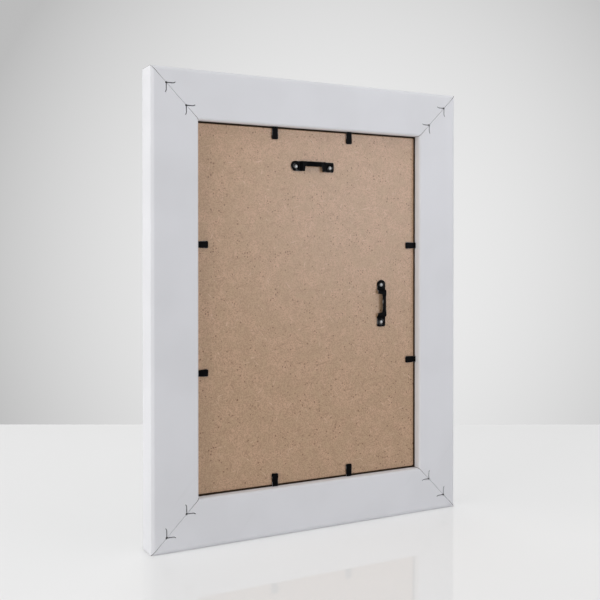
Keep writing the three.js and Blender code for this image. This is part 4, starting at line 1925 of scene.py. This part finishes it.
@dataclass
class Studio:
    """Pale floor, pale backdrop, soft lamps and the camera.

    Attributes:
        eye: Place of the camera.
        forward: Direction in which it looks.
        lens: Focal length in millimetres.
        sensor: Width of the picture in the camera, in millimetres.
        shift: Vertical shift of the picture, as a share of its width.
        nearest: Distance from which the camera sees.
        floor_half: Half the floor's width.
        floor_colour: Colour of the floor.
        floor_white: Colour of its glow.
        floor_rough: Roughness of its gloss.
        mirror: Share of the floor's light that it mirrors.
        glow: Share of the floor's light that it sends by itself.
        contact: Distance from the frame within which that glow fades.
        backdrop_reach: Distance of the backdrop from the camera.
        backdrop_half: Half the backdrop's width.
        backdrop_height: Its height.
        bright: Colour of its painted pool of light at the brightest spot.
        dim: Colour of its far corners.
        mirrored: Its colour in the floor's gloss.
        spot_offset: Offset of the brightest spot from the eye, beside and up.
        spot_squeeze: Share of a height that counts as distance from it.
        spot_reach: Distance at which it has faded.
        spot_power: Power of the distance with which it fades.
        level: Strength of the light from all round.
        surround: Colour that the surroundings show.
        lamps: The lamps.
    """

    eye: Place = (0.3725, 0.6749, 0.2344)
    forward: Place = (-0.4731, -0.8810, -0.008)
    lens: float = 54.0
    sensor: float = 36.0
    shift: float = -0.0667
    nearest: float = 10 * MM
    floor_half: float = 6.0
    floor_colour: Colour = (0.87, 0.87, 0.87)
    floor_white: Colour = (0.97, 0.97, 0.97)
    floor_rough: float = 0.01
    mirror: float = 0.15
    glow: float = 0.5
    contact: float = 6 * MM
    backdrop_reach: float = 1.227
    backdrop_half: float = 4.0
    backdrop_height: float = 3.0
    bright: Colour = (0.84, 0.84, 0.84)
    dim: Colour = (0.5, 0.5, 0.5)
    mirrored: Colour = (0.95, 0.95, 0.95)
    spot_offset: Span = (-0.054, -0.016)
    spot_squeeze: float = 0.932
    spot_reach: float = 0.525
    spot_power: float = 2.2
    level: float = 0.02
    surround: Colour = (0.55, 0.55, 0.55)
    lamps: list[Lamp] = field(default_factory=lambda: [
        Lamp("side", (1.6, 0.17, 0.6), (0.14, 0.0, 0.19), (1.5, 1.0), 17.4),
        Lamp("far_side", (-1.6, 0.25, 0.6), (-0.14, 0.0, 0.19), (1.0, 1.0), 2.4),
        Lamp("sheen", (-0.9, 1.4, 0.4), (0.0, 0.0, 0.25), (0.6, 0.6), 5.4, (0.88, 0.91, 1.0), True),
        Lamp("crown", (-0.25, 0.4, 0.85), (0.0, 0.0, 0.3), (0.5, 0.4), 1.2),
        Lamp("top", (0.1, 0.1, 2.0), (0.0, 0.0, 0.0), (1.8, 1.8), 14.0),
        Lamp("front", (-0.5, -1.6, 0.7), (0.0, 0.0, 0.2), (1.2, 1.2), 8.4),
    ])

    def camera(self) -> None:
        """Adds the camera and makes it the scene's."""
        data = bpy.data.cameras.new("camera")
        data.sensor_width = self.sensor
        data.lens = self.lens
        data.shift_y = self.shift
        data.clip_start = self.nearest
        made = add_object("camera", data)
        made.location = self.eye
        made.rotation_euler = looking(Vector(self.forward))
        bpy.context.scene.camera = made

    def floor(self) -> bpy.types.Collection:
        """Adds a large pale floor with a faint gloss, which glows a little except where the frame touches it.

        Returns:
            A collection that makes a lamp spare the floor.
        """
        signs = np.array([[-1, -1, 0], [1, -1, 0], [1, 1, 0], [-1, 1, 0]])
        floor = flat_sheet("floor", self.floor_half * signs)
        coat = Coat("pale_floor")
        matt = coat.add("ShaderNodeBsdfDiffuse", {"Color": self.floor_colour}).outputs[0]
        gloss = coat.add("ShaderNodeBsdfGlossy", {"Color": WHITE, "Roughness": self.floor_rough}).outputs[0]
        open_air = coat.add("ShaderNodeAmbientOcclusion", {"Distance": self.contact}).outputs["AO"]
        lit = coat.mixed(coat.scaled(open_air, self.glow), matt, coat.emission(self.floor_white))
        coat.show(coat.mixed(self.mirror, lit, gloss))
        floor.data.materials.append(coat.material)
        floor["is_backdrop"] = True
        spared = bpy.data.collections.new("spared_floor")
        spared.objects.link(floor)
        spared.collection_objects[0].light_linking.link_state = "EXCLUDE"
        return spared

    def backdrop(self) -> None:
        """Adds an upright backdrop that shows from the camera's side only, with a painted pool of light
        brightest in one spot.

        Its colour fades with a power of the distance from that spot.
        """
        ahead = np.array([self.forward[0], self.forward[1], 0.0])
        ahead /= np.linalg.norm(ahead)
        beside = np.array([-ahead[1], ahead[0], 0.0])
        up = np.array([0.0, 0.0, 1.0])
        foot = np.array([self.eye[0], self.eye[1], 0.0]) + self.backdrop_reach * ahead
        left, right = foot + self.backdrop_half * beside, foot - self.backdrop_half * beside
        rise = self.backdrop_height * up
        sheet = flat_sheet("backdrop", np.array([left, right, right + rise, left + rise]))
        spot = foot + self.spot_offset[0] * beside + (self.eye[2] + self.spot_offset[1]) * up
        coat = Coat("pale_backdrop")
        offset = coat.add("ShaderNodeVectorMath", {0: coat.where, 1: tuple(spot)}, operation="SUBTRACT")
        scale = (1.0, 1.0, self.spot_squeeze)
        squeezed = coat.add("ShaderNodeMapping", {"Vector": offset.outputs[0], "Scale": scale})
        far = coat.add("ShaderNodeVectorMath", {0: squeezed.outputs[0]}, operation="LENGTH").outputs["Value"]
        # Painted pool of light: the glow fades away from the bright spot.
        fade = coat.math("POWER", coat.math("DIVIDE", far, self.spot_reach), self.spot_power, clamp=True)
        in_gloss = coat.add("ShaderNodeLightPath").outputs["Is Glossy Ray"]
        colour = coat.blend(in_gloss, coat.blend(fade, self.bright, self.dim), self.mirrored)
        clear = coat.add("ShaderNodeBsdfTransparent").outputs[0]
        behind = coat.add("ShaderNodeNewGeometry").outputs["Backfacing"]
        coat.show(coat.mixed(behind, coat.emission(colour), clear))
        sheet.data.materials.append(coat.material)
        sheet.visible_diffuse = False
        sheet.visible_shadow = False
        sheet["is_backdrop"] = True

    def surroundings(self) -> None:
        """Sets an even light from all round that looks pale grey to camera and gloss, and through glass."""
        world = bpy.data.worlds.new("studio")
        bpy.context.scene.world = world
        world.use_nodes = True
        nodes = Nodes(world.node_tree)
        rays = nodes.add("ShaderNodeLightPath").outputs
        mirrored = nodes.math("MAXIMUM", rays["Is Glossy Ray"], rays["Is Transmission Ray"])
        seen = nodes.math("MAXIMUM", rays["Is Camera Ray"], mirrored)
        lit = nodes.add("ShaderNodeBackground", {"Color": WHITE, "Strength": self.level}).outputs[0]
        pale = nodes.add("ShaderNodeBackground", {"Color": self.surround, "Strength": 1.0}).outputs[0]
        nodes.show(nodes.mixed(seen, lit, pale))

    def build(self) -> None:
        """Builds the whole studio."""
        bpy.context.scene.view_settings.view_transform = "Standard"
        self.camera()
        spared = self.floor()
        self.backdrop()
        self.surroundings()
        for lamp in self.lamps:
            lamp.build(spared)


def main() -> None:
    """Builds the pieces in order, then the studio."""
    logging.basicConfig(level=logging.INFO, format="%(message)s")
    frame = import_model()
    cad_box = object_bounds()
    whole = Whole(*(np.array(corner) for corner in cad_box))
    effects = Effects()
    joints = frame["joints"]

    nails = CornerNails()
    points = RetainingPoints()
    cutters = [*nails.slots(whole), points.slots(joints)]
    black = BlackSteel("black_coated_steel", "black_steel")
    bright = PlatedSteel("bright_plated_steel", "bright_steel")
    dull = PlatedSteel("dull_nail_steel", "nail_steel", metal=(0.09, 0.09, 0.095),
                       tarnish=(0.04, 0.038, 0.036), rough=(0.45, 0.65))
    plastic = {axis: MouldedPlastic(f"white_moulding_{axis.name.lower()}", "white_plastic", axis)
               for axis in GrainAxis}
    Moulding().build(whole, cutters, plastic, effects)
    nails.build(whole, dull, effects)
    points.build(joints, black, effects)
    Sheets().build({
        "glazing": ClearGlass("clear_float_glass", "clear_glass"),
        "picture_card": BlankCard("blank_white_card", "blank_card"),
        "backing_board": Hardboard("raw_hardboard", "hardboard"),
    }, effects)
    Hangers().build(black, bright, effects)
    Studio().build()


if __name__ == "__main__":
    main()
